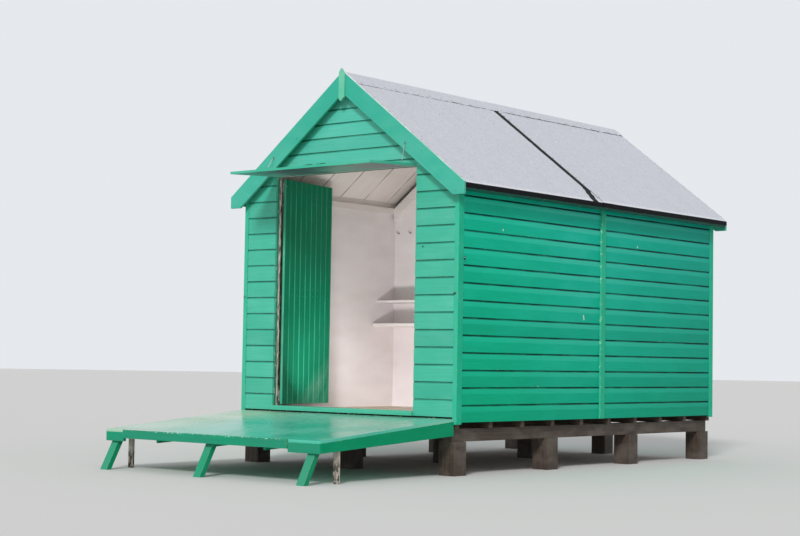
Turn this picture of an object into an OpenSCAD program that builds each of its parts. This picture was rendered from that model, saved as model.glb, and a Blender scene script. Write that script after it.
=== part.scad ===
// Timber beach hut with a gabled felt roof, a pair of inward-opening boarded doors,
// a top-hung flap above them and a sloping front deck on splayed legs.
// X runs across the front, Y runs from the front to the back, Z is up from the ground.
// The origin is the middle of the underside of the middle front pier.

/* [Hut] */
// Width over the corner boards
hut_w = 2320; // [2000:10:2800]
// Depth from the front cladding face to the back cladding face
hut_d = 3920; // [3200:10:4600]
// Height of the front cladding's lower edge above the ground
base_h = 450; // [400:10:600]
// Height of the roof at the side walls' faces above the front cladding's lower edge
wall_h = 1870; // [1780:2:2100]
// Slope of the roof in degrees
pitch = 37.5; // [35:0.5:40]

/* [Walls] */
// Thickness of the shiplap boards
clad_t = 20; // [16:1:26]
// Height that one wall board covers
wall_cover = 135; // [110:1:150]
// Height that one gable board covers
gable_cover = 114.5; // [100:0.5:130]
// Height of the hollow along the top of each board
scoop_h = 26; // [16:1:34]
// Depth of that hollow
scoop_d = 9; // [4:1:12]
// How far the side cladding reaches below the front cladding
side_drop = 40; // [20:1:60]
// Thickness of the framing timber across the wall
frame_t = 45; // [38:1:70]
// Width of the studs along the wall
stud_w = 45; // [38:1:70]
// Thickness of the inner lining
lining_t = 9; // [6:1:18]
// Width of a corner board on the front and back
corner_front_w = 40; // [30:1:70]
// Width of a corner board on the sides
corner_side_w = 60; // [50:1:90]
// How far the corner boards stand proud of the cladding
corner_proud = 4; // [2:1:8]
// Distance from the front cladding face to the cover strip on each side
strip_d = 2010; // [1500:5:2400]
// Width of the cover strip
cover_strip_w = 65; // [50:1:120]
// Thickness of the cover strip
cover_strip_t = 16; // [10:1:22]

/* [Doorway] */
// Distance from the hut's middle to the left jamb
open_left = 800; // [700:1:850]
// Distance from the hut's middle to the right jamb
open_right = 727; // [650:1:800]
// Height of the doorway's head above the front cladding's lower edge
head_h = 1955; // [1850:1:2000]
// Thickness of the threshold board
threshold_t = 36; // [25:1:45]
// How far the threshold stands out from the front
threshold_nose = 20; // [10:1:35]
// Thickness of the upright door boards
door_board_t = 20; // [16:1:26]
// Thickness of the door's ledges and braces
ledge_t = 22; // [18:1:28]
// Width of a ledge
ledge_w = 100; // [70:1:130]
// Boards in one door leaf
door_boards = 9; // [6:1:11]
// Clearance beside a door leaf
door_gap = 5; // [5:1:8]
// Clearance between the two closed leaves
meeting_gap = 8; // [6:1:12]
// Clearance below the doorway's head
head_gap = 10; // [6:1:14]
// Clearance above the threshold
foot_gap = 9; // [6:1:14]
// Angle at which the leaves stand open
door_open = 101; // [90:1:106]
// Height of a hinge barrel
barrel_h = 90; // [70:2:120]
// Radius of a hinge barrel
barrel_r = 6; // [5:0.5:8]
// Radius of a hinge pin
pin_r = 3; // [2.5:0.5:4]

/* [Flap] */
// Reach of the raised flap
flap_reach = 545; // [400:5:650]
// Thickness of the flap
flap_t = 20; // [12:1:26]
// Fall of the raised flap in degrees
flap_fall = 3; // [0:0.5:8]

/* [Roof] */
// Thickness of the roof boards
deck_t = 18; // [12:1:25]
// Depth of the rafters
rafter_d = 50; // [45:1:75]
// Gap between the roof boards and the partition's top rail, square to the slope
partition_gap = 60; // [45:1:90]
// Depth of the partition's top rail square to the slope
partition_rail_d = 90; // [60:1:120]
// Reach of the roof boards beyond the side walls
eave_reach = 98; // [60:1:160]
// How far the bargeboards' faces stand out from the end walls
verge = 80; // [60:1:140]
// Thickness of the bargeboards
barge_t = 22; // [18:1:30]
// How far the bargeboards' tops stand above the roof boards, square to the slope
barge_rise = 6; // [3:0.5:15]
// Depth of the bargeboards square to the slope
barge_d = 143; // [110:1:180]
// Thickness of one layer of roofing felt
felt_t = 3; // [2:0.5:5]
// Distance from the front cladding face to the lap of the two sheets of felt
lap_d = 1860; // [1000:10:2600]
// Width of that lap
felt_lap = 75; // [50:5:120]
// Reach of the ridge capping down each slope
cap_reach = 112; // [80:1:160]
// Height of the batten under the eave's edge
eave_batten_h = 40; // [25:1:60]
// Width of the batten at the peak of the bargeboards
finial_w = 62; // [45:1:80]

/* [Room] */
// Distance from the front cladding face to the partition's face
room_d = 1900; // [1500:10:2200]
// Thickness of the partition's boards
partition_t = 20; // [12:1:25]
// Height of the shelf above the floor
shelf_h = 980; // [850:5:1200]
// Height of the worktop above the floor
worktop_h = 765; // [700:5:850]

/* [Front deck] */
// Length of the deck from the front wall
deck_l = 1510; // [1100:10:1800]
// How far each side of the deck lies inside the hut's corners
deck_inset = 25; // [0:5:150]
// Drop of the deck's back edge below the front cladding
deck_back_drop = 12; // [8:1:50]
// Fall of the deck's surface from back to front
deck_fall = 128; // [0:1:160]
// Depth of the side boards at the back
deck_side_back = 130; // [90:1:140]
// Depth of the side boards at the front
deck_side_front = 90; // [60:1:110]
// Radius of the deck's front corners
deck_round = 24; // [8:1:24]
// Thickness of the deck's surface boards
deck_board_t = 20; // [15:1:28]
// Thickness of the deck's edge boards
deck_edge_t = 25; // [20:1:35]

/* [Supports] */
// Side of a square pier
pier_w = 150; // [100:5:200]
// Side of a square floor bearer
bearer_w = 100; // [75:5:120]
// Depth of the floor joists
joist_d = 70; // [60:1:100]
// Thickness of the floor boards
floor_t = 20; // [16:1:25]

/* [Hidden] */

// Paint and finish colours
hut_green = "#46b99d";
side_green = "#06b18f";
door_green = "#06865f";
inside_white = "#ece7e2";
bare_wood = "#ad9880";
dark_wood = "#5a493c";
felt_grey = "#cacbd4";
steel_grey = "#a8adb0";

// Main planes of the hut
front_y = -(pier_w / 2 + clad_t);
back_y = front_y + hut_d;
base_z = base_h;
side_x = hut_w / 2;
clad_x = side_x - corner_proud;
stud_x = clad_x - clad_t;
room_x = stud_x - frame_t;
inner_x = room_x - lining_t;
room_front_y = front_y + clad_t + frame_t;
room_back_y = back_y - clad_t - frame_t;
inner_front_y = room_front_y + lining_t;
partition_y = front_y + room_d;

// The roof's levels, each as the height of a sloping plane at distance x from the middle
slope = tan(pitch);
peak_z = base_z + wall_h + slope * side_x;
eave_x = side_x + eave_reach;
function up(thickness) = thickness / cos(pitch);
function roof_top(x) = peak_z - slope * abs(x);
function boards_under(x) = roof_top(x) - up(deck_t);
function rafters_under(x) = boards_under(x) - up(rafter_d);

// Pieces that meet a sloping face stop this far short of it
seat = 0.05;
function roof_seat(x) = boards_under(x) - seat;
function rafter_seat(x) = rafters_under(x) - seat;

// Floor and supports
floor_z = base_z;
joist_top = floor_z - floor_t;
bearer_top = joist_top - joist_d;
pier_h = bearer_top - bearer_w;
joist_w = 45;
joist_count = round(hut_d / 420) + 1;
pier_inset = 11;
pier_x = stud_x - pier_w / 2 - pier_inset;
pier_rows = 4;
pier_step = (back_y - pier_w / 2 - clad_t) / (pier_rows - 1);

// Walls
head_z = base_z + head_h;
plate_lip = 20;
plate_h = 55;
plate_drop = 110;
plate_z = boards_under(inner_x) - plate_drop;
nogging_z = floor_z + 900;
frame_step = 480;
strip_y = front_y + strip_d;
gable_first = 64.5;
panel_gap = 6;
side_first_joint = wall_cover - side_drop;

// Doors
open_w = open_left + open_right;
leaf_w = (open_w - 2 * door_gap - meeting_gap) / 2;
leaf_z = base_z + threshold_t + foot_gap;
leaf_h = head_z - head_gap - leaf_z;
hinge_y = inner_front_y + barrel_r + 1;
strap_t = 3;
strap_w = 34;
strap_l = 420;
knuckle_h = strap_w + 4;
ledge_inset = 8;
ledge_start = 60;
ledge_end = 150;
ledge_places = [ledge_end, leaf_h / 2, leaf_h - ledge_end];
hinge_end = ledge_end - ledge_w / 2 - strap_w / 2 - 12;
hinge_places = [hinge_end, leaf_h - hinge_end];
pin_play = 0.4;
plate_reach = 50;
plate_t = 3;

// Roof edges
barge_cut = 97;
barge_front = front_y - verge;
barge_back = back_y + verge;
verge_front = barge_front + barge_t;
verge_back = barge_back - barge_t;
function barge_top(x) = roof_top(x) + up(barge_rise);
ridge_board_w = 22;
purlin_w = 45;
purlin_x = (stud_x - purlin_w) / 2;
lap_y = front_y + lap_d;
felt_fold = 42;

// Flap
flap_hinge_r = 5;
flap_hinge_t = 3;
flap_hinge_y = front_y - flap_hinge_r - 1;
flap_hinge_z = head_z - flap_hinge_t;
flap_back = flap_hinge_r + 2;
flap_left = open_left - 8;
flap_right = open_right - 6;

// Deck
deck_back_z = base_z - deck_back_drop;
deck_front_y = front_y - deck_l;
function deck_top(y) = deck_back_z - deck_fall * (front_y - y) / deck_l;
function deck_under(y) = deck_top(y) - deck_board_t / cos(atan(deck_fall / deck_l));
function deck_seat(y) = deck_under(y) - seat;
function deck_low(y) = deck_top(y)
    - (deck_side_back + (deck_side_front - deck_side_back) * (front_y - y) / deck_l);
leg_w = 72;
leg_t = 42;
leg_inset = 60;
leg_lean = 28;
stake_w = 42;
stake_t = 26;
stake_split = 150;

// A profile drawn as (x, z), run from y0 to y1
module along_y(y0, y1) {
    translate([0, y1, 0]) rotate([90, 0, 0]) linear_extrude(y1 - y0) children();
}

// A profile drawn as (y, z), run from x0 to x1
module along_x(x0, x1) {
    translate([x0, 0, 0]) rotate([90, 0, 90]) linear_extrude(x1 - x0) children();
}

// A block given by its two opposite corners
module block(low, high) {
    translate(low) cube(high - low);
}

module both_sides() {
    children();
    mirror([1, 0, 0]) children();
}

// Outer face of one shiplap board from z0 to z1: flat, then a hollow up to the next board.
// Points are (depth, height), with the depth measured inwards from the outer face.
function board_face(z0, z1) = concat(
    [[0, z0], [0, z1 - scoop_h]],
    [for (i = [1:3]) [
        scoop_d * (1 - cos(30 * i)),
        z1 - scoop_h + (scoop_h - 4) * sin(30 * i)]],
    [[scoop_d, z1]]);

// Outline of a wall of boards between low and high, with joints every cover from first
function board_wall(low, high, first, cover) =
    let (
        joints = [for (z = [first:cover:high - scoop_h - 5]) z],
        starts = concat([low], joints))
    concat(
        [for (i = [0:len(starts) - 1], p = i < len(joints)
            ? board_face(starts[i], joints[i])
            : [[0, starts[i]], [0, high]]) p],
        [[clad_t, high], [clad_t, low]]);

// Area under the roof boards, as (x, z), at and above a floor height
module under_roof(low, half) {
    polygon([
        [-half, low], [half, low], [half, roof_seat(half)],
        [0, roof_seat(0)], [-half, roof_seat(half)]]);
}

// Ground supports and floor

module piers() {
    color(dark_wood)
        for (x = [-pier_x, 0, pier_x], row = [0:pier_rows - 1])
            translate([x - pier_w / 2, row * pier_step - pier_w / 2, 0])
                cube([pier_w, pier_w, pier_h]);
}

module floor_bearers() {
    color(dark_wood)
        for (x = [-pier_x, 0, pier_x])
            block([x - bearer_w / 2, front_y + clad_t, pier_h],
                [x + bearer_w / 2, back_y - clad_t, bearer_top]);
}

module floor_joists() {
    reach = back_y - front_y - 2 * clad_t - joist_w;
    color(bare_wood)
        for (i = [0:joist_count - 1])
            translate([-stud_x, front_y + clad_t + i * reach / (joist_count - 1), bearer_top])
                cube([2 * stud_x, joist_w, joist_d]);
}

module floor_boards() {
    color(bare_wood)
        block([-stud_x, front_y + clad_t, joist_top], [stud_x, back_y - clad_t, floor_z]);
}

// Wall frames

// Frame of the front wall beside the doorway, from x0 out to x1
module front_frame(x0, x1) {
    far = x1 - stud_w;
    top = min(head_z, rafter_seat(x1));
    along_y(front_y + clad_t, room_front_y) {
        polygon([
            [x0, floor_z], [x0 + stud_w, floor_z],
            [x0 + stud_w, rafter_seat(x0 + stud_w)], [x0, rafter_seat(x0)]]);
        polygon([
            [far, floor_z], [x1, floor_z],
            [x1, rafter_seat(x1)], [far, rafter_seat(far)]]);
        translate([x0, floor_z]) square([x1 - x0, stud_w]);
        translate([x0, nogging_z]) square([x1 - x0, stud_w]);
        translate([x0, top - stud_w]) square([x1 - x0, stud_w]);
    }
}

// Head beam over the doorway with a short post up to the ridge
module gable_frame() {
    head_d = 70;
    along_y(front_y + clad_t, room_front_y) {
        translate([-open_left, head_z]) square([open_w, head_d]);
        translate([-stud_w / 2, head_z])
            square([stud_w, rafter_seat(stud_w / 2) - head_z]);
    }
}

// Frame of the closed back wall
module back_frame() {
    bays = 5;
    along_y(room_back_y, back_y - clad_t)
        intersection() {
            union() {
                for (z = [floor_z, nogging_z, plate_z - stud_w])
                    translate([-stud_x, z]) square([2 * stud_x, stud_w]);
                for (i = [0:bays])
                    translate([-stud_x + i * (2 * stud_x - stud_w) / bays, floor_z])
                        square([stud_w, peak_z - floor_z]);
            }
            polygon([
                [-stud_x, floor_z], [stud_x, floor_z], [stud_x, rafter_seat(stud_x)],
                [0, rafter_seat(0)], [-stud_x, rafter_seat(stud_x)]]);
        }
}

module end_frames() {
    color(bare_wood) {
        mirror([1, 0, 0]) front_frame(open_left, stud_x);
        front_frame(open_right, stud_x);
        gable_frame();
        back_frame();
    }
}

module side_frames() {
    low_y = room_front_y;
    high_y = room_back_y;
    count = round((high_y - low_y) / frame_step);
    color(bare_wood)
        both_sides()
            along_x(room_x, stud_x) {
                for (z = [floor_z, nogging_z, plate_z - stud_w])
                    translate([low_y, z]) square([high_y - low_y, stud_w]);
                for (i = [0:count])
                    translate([low_y + i * (high_y - low_y - stud_w) / count, floor_z])
                        square([stud_w, plate_z - floor_z]);
            }
}

// Cladding

// Boards of the front wall between x0 and x1, turned so that their faces look forward
module front_boards(x0, x1, low, high, first, cover) {
    intersection() {
        along_x(x0, x1)
            translate([front_y, 0]) polygon(board_wall(low, high, first, cover));
        along_y(front_y - 1, front_y + clad_t + 1) under_roof(base_z - 100, side_x);
    }
}

module cladding_front_left() {
    color(hut_green)
        front_boards(-side_x + corner_front_w, -open_left,
            base_z, head_z, base_z + wall_cover, wall_cover);
}

module cladding_front_right() {
    color(hut_green)
        front_boards(open_right, side_x - corner_front_w,
            base_z, head_z, base_z + wall_cover, wall_cover);
}

module cladding_front_gable() {
    half = side_x - corner_front_w;
    color(hut_green)
        front_boards(-half, half, head_z, peak_z,
            head_z + gable_first, gable_cover);
}

// Boards of the side walls, in two panels that meet under the cover strip
module cladding_sides() {
    top = roof_seat(clad_x);
    face = board_wall(base_z - side_drop, top, base_z + side_first_joint, wall_cover);
    panels = [
        [front_y + corner_side_w, strip_y - panel_gap / 2],
        [strip_y + panel_gap / 2, back_y - corner_side_w]];
    color(side_green)
        both_sides()
            for (panel = panels)
                along_y(panel[0], panel[1])
                    translate([clad_x, 0]) mirror([1, 0]) polygon(face);
}

module cladding_back() {
    half = side_x - corner_front_w;
    color(side_green)
        intersection() {
            along_x(-half, half)
                translate([back_y, 0]) mirror([1, 0])
                    polygon(board_wall(base_z, peak_z, base_z + wall_cover, wall_cover));
            along_y(back_y - clad_t - 1, back_y + 1) under_roof(base_z - 100, side_x);
        }
}

// A board over the corner at end y, running inwards along the side
module corner_board(end, inward) {
    board_t = clad_t + corner_proud;
    low = base_z - 55;
    reach = end + inward * (corner_side_w + corner_proud);
    translate([0, 0, low])
        linear_extrude(roof_seat(side_x) - low)
            polygon([
                [side_x, end], [side_x, reach], [side_x - board_t, reach],
                [side_x - board_t, end + inward * board_t],
                [side_x - corner_front_w, end + inward * board_t],
                [side_x - corner_front_w, end]]);
}

// Corner boards and the strips over the joints halfway along the sides
module wall_trim() {
    half = cover_strip_w / 2;
    outer = clad_x + cover_strip_t;
    color(side_green)
        both_sides() {
            corner_board(front_y - corner_proud, 1);
            corner_board(back_y + corner_proud, -1);
            block([clad_x, strip_y - half, base_z - side_drop],
                [outer, strip_y + half, roof_seat(outer)]);
        }
}

// Threshold board with an eased front edge
module threshold() {
    nose_y = front_y - threshold_nose;
    top = floor_z + threshold_t;
    ease = 6;
    color(hut_green)
        along_x(-open_left, open_right)
            polygon([
                [nose_y, floor_z], [nose_y, top - ease], [nose_y + ease, top],
                [inner_front_y, top], [inner_front_y, floor_z]]);
}

// Linings, partition and fittings

module lining_sides() {
    color(inside_white)
        both_sides()
            block([inner_x, room_front_y, floor_z], [room_x, room_back_y, plate_z]);
}

// Inner boards beside the doorway and across the back
module lining_ends() {
    color(inside_white) {
        block([-inner_x, room_front_y, floor_z], [-open_left, inner_front_y, plate_z]);
        block([open_right, room_front_y, floor_z], [inner_x, inner_front_y, plate_z]);
        block([-inner_x, room_back_y - lining_t, floor_z], [inner_x, room_back_y, plate_z]);
    }
}

function rail_top(x) = boards_under(x) - up(partition_gap);
function rail_under(x) = rail_top(x) - up(partition_rail_d);

module partition() {
    mid = up(partition_rail_d / 2);
    color(inside_white)
        along_y(partition_y, partition_y + partition_t)
            polygon([
                [-inner_x, floor_z], [inner_x, floor_z],
                [inner_x, rail_top(inner_x) - mid], [0, rail_top(0) - mid],
                [-inner_x, rail_top(inner_x) - mid]]);
}

// Sloping rails along the top of the partition, with an open gap under the roof
module partition_rail() {
    x = inner_x - plate_lip;
    color(inside_white)
        along_y(partition_y - frame_t, partition_y)
            polygon([
                [x, rail_top(x)], [0, rail_top(0)], [-x, rail_top(x)],
                [-x, rail_under(x)], [0, rail_under(0)], [x, rail_under(x)]]);
}

// Plates along the tops of the side walls, with a lip into the room
module wall_plates() {
    inner = inner_x - plate_lip;
    color(inside_white)
        both_sides()
            along_y(room_front_y, room_back_y)
                polygon([
                    [inner, plate_z], [stud_x, plate_z], [stud_x, roof_seat(stud_x)],
                    [room_x, roof_seat(room_x)], [room_x, plate_z + plate_h],
                    [inner, plate_z + plate_h]]);
}

// Shelf and worktop across the partition; the worktop's front left corner is rounded
module shelves() {
    shelf_t = 22;
    shelf_w = 250;
    worktop_t = 28;
    worktop_w = 330;
    round = 40;
    color(inside_white) {
        block([-inner_x, partition_y - shelf_w, floor_z + shelf_h - shelf_t],
            [inner_x, partition_y, floor_z + shelf_h]);
        translate([-inner_x, partition_y - worktop_w, floor_z + worktop_h - worktop_t])
            linear_extrude(worktop_t) {
                translate([round, 0]) square([2 * inner_x - round, worktop_w]);
                translate([0, round]) square([2 * inner_x, worktop_w - round]);
                translate([round, round]) circle(r = round, $fn = 64);
            }
    }
}

// Doors

// A leaf is drawn closed, with its hinge axis at the origin, the room at +Y and its foot
// at z = 0. It reaches to +X for hand 1, the left leaf, and to -X for hand -1.
module leaf_place(hand) {
    translate([hand > 0 ? -open_left : open_right, hinge_y, leaf_z])
        rotate([0, 0, hand * door_open]) children();
}

leaf_back = -(hinge_y - inner_front_y);

// Upright boards with a V joint between each pair
module leaf_boards(hand) {
    step = leaf_w / door_boards;
    vee = 4;
    y0 = leaf_back - door_board_t;
    y1 = leaf_back;
    color(door_green)
        linear_extrude(leaf_h)
            scale([hand, 1]) translate([door_gap, 0])
                polygon(concat(
                    [[0, y0]],
                    [for (i = [1:door_boards - 1], p = [[-vee, 0], [0, vee], [vee, 0]])
                        [i * step + p[0], y0 + p[1]]],
                    [[leaf_w, y0], [leaf_w, y1]],
                    [for (i = [door_boards - 1:-1:1], p = [[vee, 0], [0, -vee], [-vee, 0]])
                        [i * step + p[0], y1 + p[1]]],
                    [[0, y1]]));
}

// Three ledges and two braces rising from the hinge side
module leaf_ledges(hand) {
    x0 = ledge_start;
    x1 = door_gap + leaf_w - ledge_inset;
    half = ledge_w / 2;
    brace = 95;
    color(inside_white)
        along_y(leaf_back, leaf_back + ledge_t) scale([hand, 1]) {
            for (z = ledge_places)
                translate([x0, z - half]) square([x1 - x0, ledge_w]);
            for (i = [0, 1]) {
                low = ledge_places[i] + half;
                high = ledge_places[i + 1] - half;
                polygon([[x0, low], [x0 + brace, low], [x1, high], [x1 - brace, high]]);
            }
        }
}

// Strap hinges on the leaf: a tapered strap and the middle of the barrel
module leaf_hinges(hand) {
    color(steel_grey)
        for (z = hinge_places)
            translate([0, 0, z])
                difference() {
                    union() {
                        along_y(leaf_back, leaf_back + strap_t)
                            scale([hand, 1])
                                polygon([
                                    [0, -strap_w / 2], [strap_l - 30, -9], [strap_l, -5],
                                    [strap_l, 5], [strap_l - 30, 9], [0, strap_w / 2]]);
                        cylinder(r = barrel_r, h = knuckle_h, center = true, $fn = 32);
                    }
                    cylinder(r = pin_r + pin_play, h = 2 * strap_w, center = true, $fn = 32);
                }
}

// Jamb plates with the ends of each barrel, joined by the pin
module jamb_hinge(hand) {
    play = 1;
    end_h = (barrel_h - knuckle_h) / 2 - play;
    color(steel_grey)
        for (z = hinge_places)
            translate([0, 0, z]) {
                cylinder(r = pin_r, h = barrel_h - 2, center = true, $fn = 32);
                for (end = [-1, 1])
                    translate([0, 0, end * (knuckle_h / 2 + play + end_h / 2) - end_h / 2]) {
                        cylinder(r = barrel_r, h = end_h, $fn = 32);
                        linear_extrude(end_h)
                            scale([hand, 1]) translate([-plate_reach, leaf_back])
                                square([plate_reach, plate_t]);
                    }
            }
}

module door_left() {
    leaf_place(1) leaf_boards(1);
}

module door_left_ledges() {
    leaf_place(1) leaf_ledges(1);
}

module door_left_hinges() {
    leaf_place(1) leaf_hinges(1);
}

module door_right() {
    leaf_place(-1) leaf_boards(-1);
}

module door_right_ledges() {
    leaf_place(-1) leaf_ledges(-1);
}

module door_right_hinges() {
    leaf_place(-1) leaf_hinges(-1);
}

module jamb_hinges() {
    translate([-open_left, hinge_y, leaf_z]) jamb_hinge(1);
    translate([open_right, hinge_y, leaf_z]) jamb_hinge(-1);
}

// Flap and its ironwork

// The flap is drawn level, with its hinge axis at the origin and its reach along -Y
module flap_place() {
    translate([0, flap_hinge_y, flap_hinge_z]) rotate([flap_fall, 0, 0]) children();
}

module flap() {
    color(hut_green)
        flap_place()
            block([-flap_left, -flap_reach, flap_hinge_t],
                [flap_right, -flap_back, flap_hinge_t + flap_t]);
}

// Each hinge has one leaf under the doorway's head and one under the flap
module flap_hinges() {
    half = 30;
    wall_leaf = 48;
    flap_leaf = 60;
    color(steel_grey)
        for (x = [-flap_left + 180, flap_right - 180]) {
            flap_place() {
                block([x - half, -flap_leaf, 0], [x + half, 0, flap_hinge_t - seat]);
                translate([x - half, 0, 0]) rotate([0, 90, 0])
                    cylinder(r = flap_hinge_r, h = 2 * half, $fn = 32);
            }
            block([x - half, flap_hinge_y, head_z - flap_hinge_t],
                [x + half, front_y + wall_leaf, head_z]);
        }
}

wire_r = 2.5;
ring_r = 8;

// A round bar between two points
module bar(from, to, r) {
    way = to - from;
    flat = norm([way[0], way[1]]);
    translate(from)
        rotate([0, atan2(flat, way[2]), atan2(way[1], way[0])])
            cylinder(r = r, h = norm(way), $fn = 24);
}

// A screw eye at the origin: a shank along +Z, then a flat ring around the X axis
module screw_eye(shank) {
    cylinder(r = wire_r, h = shank + 1, $fn = 24);
    translate([0, 0, shank + ring_r])
        rotate([0, 90, 0])
            difference() {
                cylinder(r = ring_r, h = 2 * wire_r + 1, center = true, $fn = 32);
                cylinder(r = ring_r - 3, h = 4 * wire_r, center = true, $fn = 32);
            }
}

// Hooked rods from eyes on the bargeboards down to eyes on the flap's top
module flap_stays() {
    shank = 6;
    inset = 14;
    foot_y = front_y - 156;
    flap_top = flap_hinge_z + (flap_hinge_t + flap_t) / cos(flap_fall)
        - (flap_hinge_y - foot_y) * tan(flap_fall) + seat;
    // Each stay: the flap's edge, the head's distance in from it, its drop from the roof line
    stays = [[-flap_left, 35, 72], [flap_right, -43, 108]];
    color(steel_grey)
        for (stay = stays) {
            head_x = stay[0] + stay[1];
            head = [head_x, barge_front, roof_top(head_x) - stay[2]];
            foot = [stay[0] - inset * sign(stay[0]), foot_y, flap_top];
            top = head - [0, shank + ring_r, ring_r - 1];
            low = foot + [0, 0, shank + 2 * ring_r - 1];
            translate(head) rotate([90, 0, 0]) screw_eye(shank);
            translate(foot) screw_eye(shank);
            bar(top, low, wire_r);
        }
}

// A coat hook on a wall at the origin, with its arm along -Y turning up to a ball
module coat_hook() {
    arm = 22;
    bend = 12;
    rotate([90, 0, 0]) {
        cylinder(r = 10, h = 3, $fn = 32);
        cylinder(r = 3, h = arm, $fn = 24);
    }
    translate([0, -arm, bend]) rotate([0, 90, 180])
        rotate_extrude(angle = 90, $fn = 32) translate([bend, 0]) circle(r = 3, $fn = 16);
    translate([0, -arm - bend, bend]) sphere(r = 5, $fn = 16);
}

// Coat hooks on the partition, hook eyes on the corner boards and a hook at the left jamb
module hooks() {
    count = 6;
    spacing = 143;
    eye_z = base_z + 950;
    shank = 6;
    color(steel_grey) {
        for (i = [0:count - 1])
            translate([-inner_x + 47 + spacing * i, partition_y, floor_z + 1620]) coat_hook();
        for (x = [-side_x + 24, side_x - 36])
            translate([x, front_y - corner_proud, eye_z]) rotate([90, 0, 0]) screw_eye(shank);
        translate([side_x, front_y + 50, eye_z + 275]) rotate([0, 90, 0]) screw_eye(shank);
        jamb_hook();
    }
}

// A rod that hangs askew in an eye under the doorway's head, beside the left jamb
module jamb_hook() {
    shank = 6;
    eye = [-open_left + 12, front_y + 40, head_z];
    from = eye - [0, 0, shank + 2 * ring_r - 1];
    translate(eye) mirror([0, 0, 1]) screw_eye(shank);
    bar(from, from + [76, 0, -60], wire_r);
}

// Roof

// Rafters of the two end walls
module rafters() {
    color(bare_wood)
        both_sides()
            for (y = [front_y + clad_t, room_back_y])
                along_y(y, y + frame_t)
                    polygon([
                        [0, rafters_under(0)], [0, roof_seat(0)],
                        [stud_x, roof_seat(stud_x)], [stud_x, rafters_under(stud_x)]]);
}

// Ridge board and a purlin halfway up each slope, resting on the partition's rail
module purlins() {
    half = ridge_board_w / 2;
    x1 = purlin_x + purlin_w;
    color(inside_white) {
        block([-half, room_front_y, rail_top(0) + seat], [half, room_back_y, roof_seat(half)]);
        both_sides()
            along_y(room_front_y, room_back_y)
                polygon([
                    [purlin_x, rail_top(purlin_x) + seat], [purlin_x, roof_seat(purlin_x)],
                    [x1, roof_seat(x1)], [x1, rail_top(x1) + seat]]);
    }
}

module roof_boards_right() {
    color(bare_wood)
        along_y(verge_front, verge_back)
            polygon([
                [0, boards_under(0)], [0, roof_top(0)],
                [eave_x, roof_top(eave_x)], [eave_x, boards_under(eave_x)]]);
}

module roof_boards_left() {
    mirror([1, 0, 0]) roof_boards_right();
}

// Half outline of a felt layer on the right, n layers above the boards, from x0 to the fold
function felt_half(n, x0) =
    let (
        out = eave_x + n * felt_t,
        lift = up(felt_t))
    [
        [x0, roof_top(x0) + n * lift],
        [out, roof_top(out) + n * lift],
        [out, roof_top(eave_x) - felt_fold],
        [out + felt_t, roof_top(eave_x) - felt_fold],
        [out + felt_t, roof_top(out + felt_t) + (n + 1) * lift],
        [x0, roof_top(x0) + (n + 1) * lift]];

module felt_layer(y0, y1, n, x0) {
    both_sides() along_y(y0, y1) polygon(felt_half(n, x0));
}

module felt_front() {
    color(felt_grey) felt_layer(verge_front, lap_y + felt_lap, 0, 0);
}

// The back sheet steps up over the end of the front sheet
module felt_back() {
    color(felt_grey) {
        felt_layer(lap_y + felt_lap, barge_back, 0, 0);
        felt_layer(lap_y, lap_y + felt_lap + 12, 1, cap_reach + 3);
    }
}

module ridge_cap() {
    lift = up(felt_t);
    color(felt_grey)
        along_y(verge_front, barge_back)
            polygon([
                [-cap_reach, roof_top(cap_reach) + lift], [0, roof_top(0) + lift],
                [cap_reach, roof_top(cap_reach) + lift],
                [cap_reach, roof_top(cap_reach) + 2 * lift],
                [0, roof_top(0) + 2 * lift],
                [-cap_reach, roof_top(cap_reach) + 2 * lift]]);
}

module eave_battens() {
    inner = eave_x - 20;
    color(side_green)
        both_sides()
            along_y(verge_front, verge_back)
                polygon([
                    [inner, boards_under(eave_x) - eave_batten_h],
                    [eave_x, boards_under(eave_x) - eave_batten_h],
                    [eave_x, roof_seat(eave_x)], [inner, roof_seat(inner)]]);
}

// Bargeboards of one gable, with an upright cut at the eaves
// lift is how far they rise over the roof boards, reach how far past the ends of those
module barge_pair(y, lift, reach) {
    end_x = eave_x + reach;
    peak = barge_top(0) - up(barge_d);
    low = barge_top(end_x) - barge_cut;
    foot_x = (peak - low) / slope;
    along_y(y, y + barge_t)
        polygon([
            [0, roof_top(0) + lift], [end_x, roof_top(end_x) + lift], [end_x, low],
            [foot_x, low], [0, peak], [-foot_x, low],
            [-end_x, low], [-end_x, roof_top(end_x) + lift]]);
}

// The front pair stands proud of the felt, the felt runs over the back pair
module bargeboards() {
    color(hut_green) {
        barge_pair(barge_front, up(barge_rise), felt_t);
        barge_pair(verge_back, -seat, 0);
    }
}

// Battens over the peaks of the bargeboards, pointed at both ends, with chamfered edges
module finials() {
    half = finial_w / 2;
    flat = half - 9;
    low = barge_top(0) - 250;
    color(hut_green)
        for (end = [[barge_front, -1, barge_top(0) + 20], [barge_back, 1, roof_top(0) - 2]])
            intersection() {
                translate([0, end[0], 0]) scale([1, end[1], 1])
                    linear_extrude(end[2])
                        polygon([
                            [-half, 0], [half, 0], [half, barge_t - 9], [flat, barge_t],
                            [-flat, barge_t], [-half, barge_t - 9]]);
                along_y(end[0] - 2 * barge_t, end[0] + 2 * barge_t)
                    polygon([
                        [0, low], [half, low + 34], [half, end[2] - 44], [0, end[2]],
                        [-half, end[2] - 44], [-half, low + 34]]);
            }
}

// Front deck

deck_half = side_x - deck_inset;

deck_back_y = front_y - corner_proud;

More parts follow.
